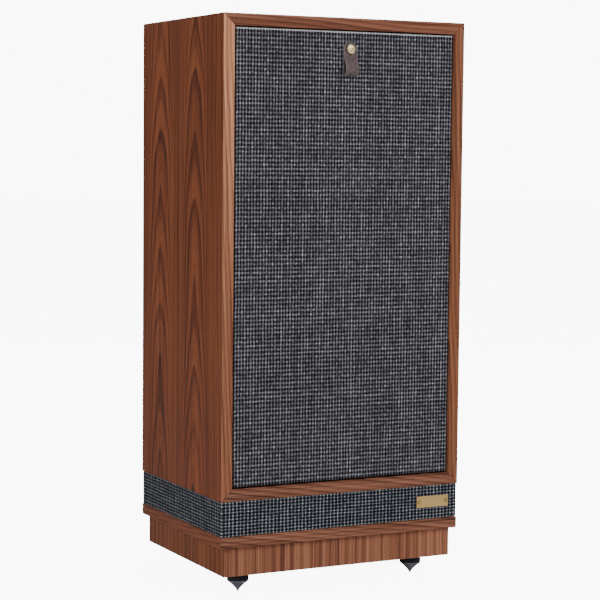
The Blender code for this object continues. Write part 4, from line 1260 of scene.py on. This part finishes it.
def make_filter_board():
    board = Look("circuit_green", 0.4, Specular_IOR_Level=0.4)
    x, y, z = board.place()
    u, v = x / 0.007, y / 0.007
    i, j = u.floor(), v.floor()
    luck = board.chance(i, j)
    across, along = (u.fract() - 0.5).size(), (v.fract() - 0.5).size()
    level = along.step(0.10, 0.14, 1.0, 0.0) * luck.step(0.44, 0.46)
    upright = across.step(0.10, 0.14, 1.0, 0.0) * luck.step(0.58, 0.60, 1.0, 0.0)
    far = (across * across + along * along).root()
    pad = far.step(0.22, 0.25, 1.0, 0.0) * board.chance(j, i).step(0.62, 0.64)
    mask = board.mix(level.over(upright), (0.006, 0.055, 0.022), (0.018, 0.130, 0.050))
    board.paint(board.mix(pad, mask, (0.62, 0.60, 0.56)))
    board.bump(level.over(upright).over(pad), 0.0001, 0.8)
    plate = refined("crossover_board", "filter_board", board.material, 0.0003)
    settle(plate, "cabinet", "circuit_board", "crossover_board")


def make_choke():
    low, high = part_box("inductor")
    centre, tall = (low + high) / 2, high.z - low.z
    winding = wound("choke_copper", (centre.x, centre.y), "z", 0.0012)
    place = (centre.x, centre.y, low.z)
    profile = [(0.0288, tall - 0.0018), (0.0288, 0.0018), (0.0136, 0.0018), (0.0136, tall - 0.0018)]
    coil = turned("choke_coil", profile, place, UPWARD, winding, 96, True, 0.001)
    settle(coil, "cabinet", "copper", "inductor")
    black = mottled("bobbin_black", (0.030, 0.030, 0.031), (0.018, 0.018, 0.019), 900, 0.5, bump=0.00005)
    profile = [
        (0.0300, 0), (0.0300, 0.0016), (0.0134, 0.0016), (0.0134, tall - 0.0016), (0.0300, tall - 0.0016),
        (0.0300, tall), (0.0120, tall), (0.0120, 0),
    ]
    bobbin = turned("choke_bobbin", profile, place, UPWARD, black, 96, True, 0.0003)
    settle(bobbin, "cabinet", "black_plastic")


def make_capacitor():
    low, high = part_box("capacitor")
    centre, half, radius = (low + high) / 2, (high.x - low.x) / 2, (high.z - low.z) / 2
    film = Look("capacitor_wrap", 0.3, Specular_IOR_Level=0.5)
    x, y, z = film.place()
    off = (x - centre.x).size()
    sheen = film.noise(x * 40, y * 300, z * 300, 3.0)
    body = film.ramp(sheen, (0.3, (0.020, 0.034, 0.120)), (0.7, (0.045, 0.070, 0.200)))
    film.paint(film.mix(off.step(half - 0.0030, half - 0.0026), body, (0.30, 0.22, 0.10)))
    film.bump(sheen, 0.0001, 0.5)
    flank = [(0, half), (radius * 0.80, half), (radius * 0.96, half - 0.0014), (radius, half - 0.0030)]
    profile = flank + [(r, -h) for r, h in reversed(flank)]
    turn = Matrix.Rotation(math.pi / 2, 4, "Y")
    can = turned("film_capacitor", profile, centre, turn, film.material, 64, ease=0.0004)
    settle(can, "cabinet", "capacitor_film", "capacitor")


RAIL = walnut("walnut_rail", "x", "z", toned(VENEER, 1.0, 1.5, 2.5), slope=0.16, warp=1.2)
CAST = mottled("cast_grey", (0.085, 0.085, 0.089), (0.050, 0.050, 0.053), 1300, 0.45, 0.5, bump=0.0001)
BOLT = mottled("black_bolt", (0.070, 0.070, 0.074), (0.040, 0.040, 0.043), 900, 0.34, 0.9)


make_stage()
make_cabinet(RAIL)
make_base(RAIL)
make_grille_cloth()
make_band_cloth()
make_tab()
make_stud()
make_badge()
make_feet()
make_basket(CAST, BOLT)
make_cone()
make_surround()
make_spider_and_coil()
make_motor()
make_treble_unit()
make_front(BOLT)
make_controls(BOLT)
make_terminals(BOLT)
make_wadding()
make_port()
make_filter_board()
make_choke()
make_capacitor()
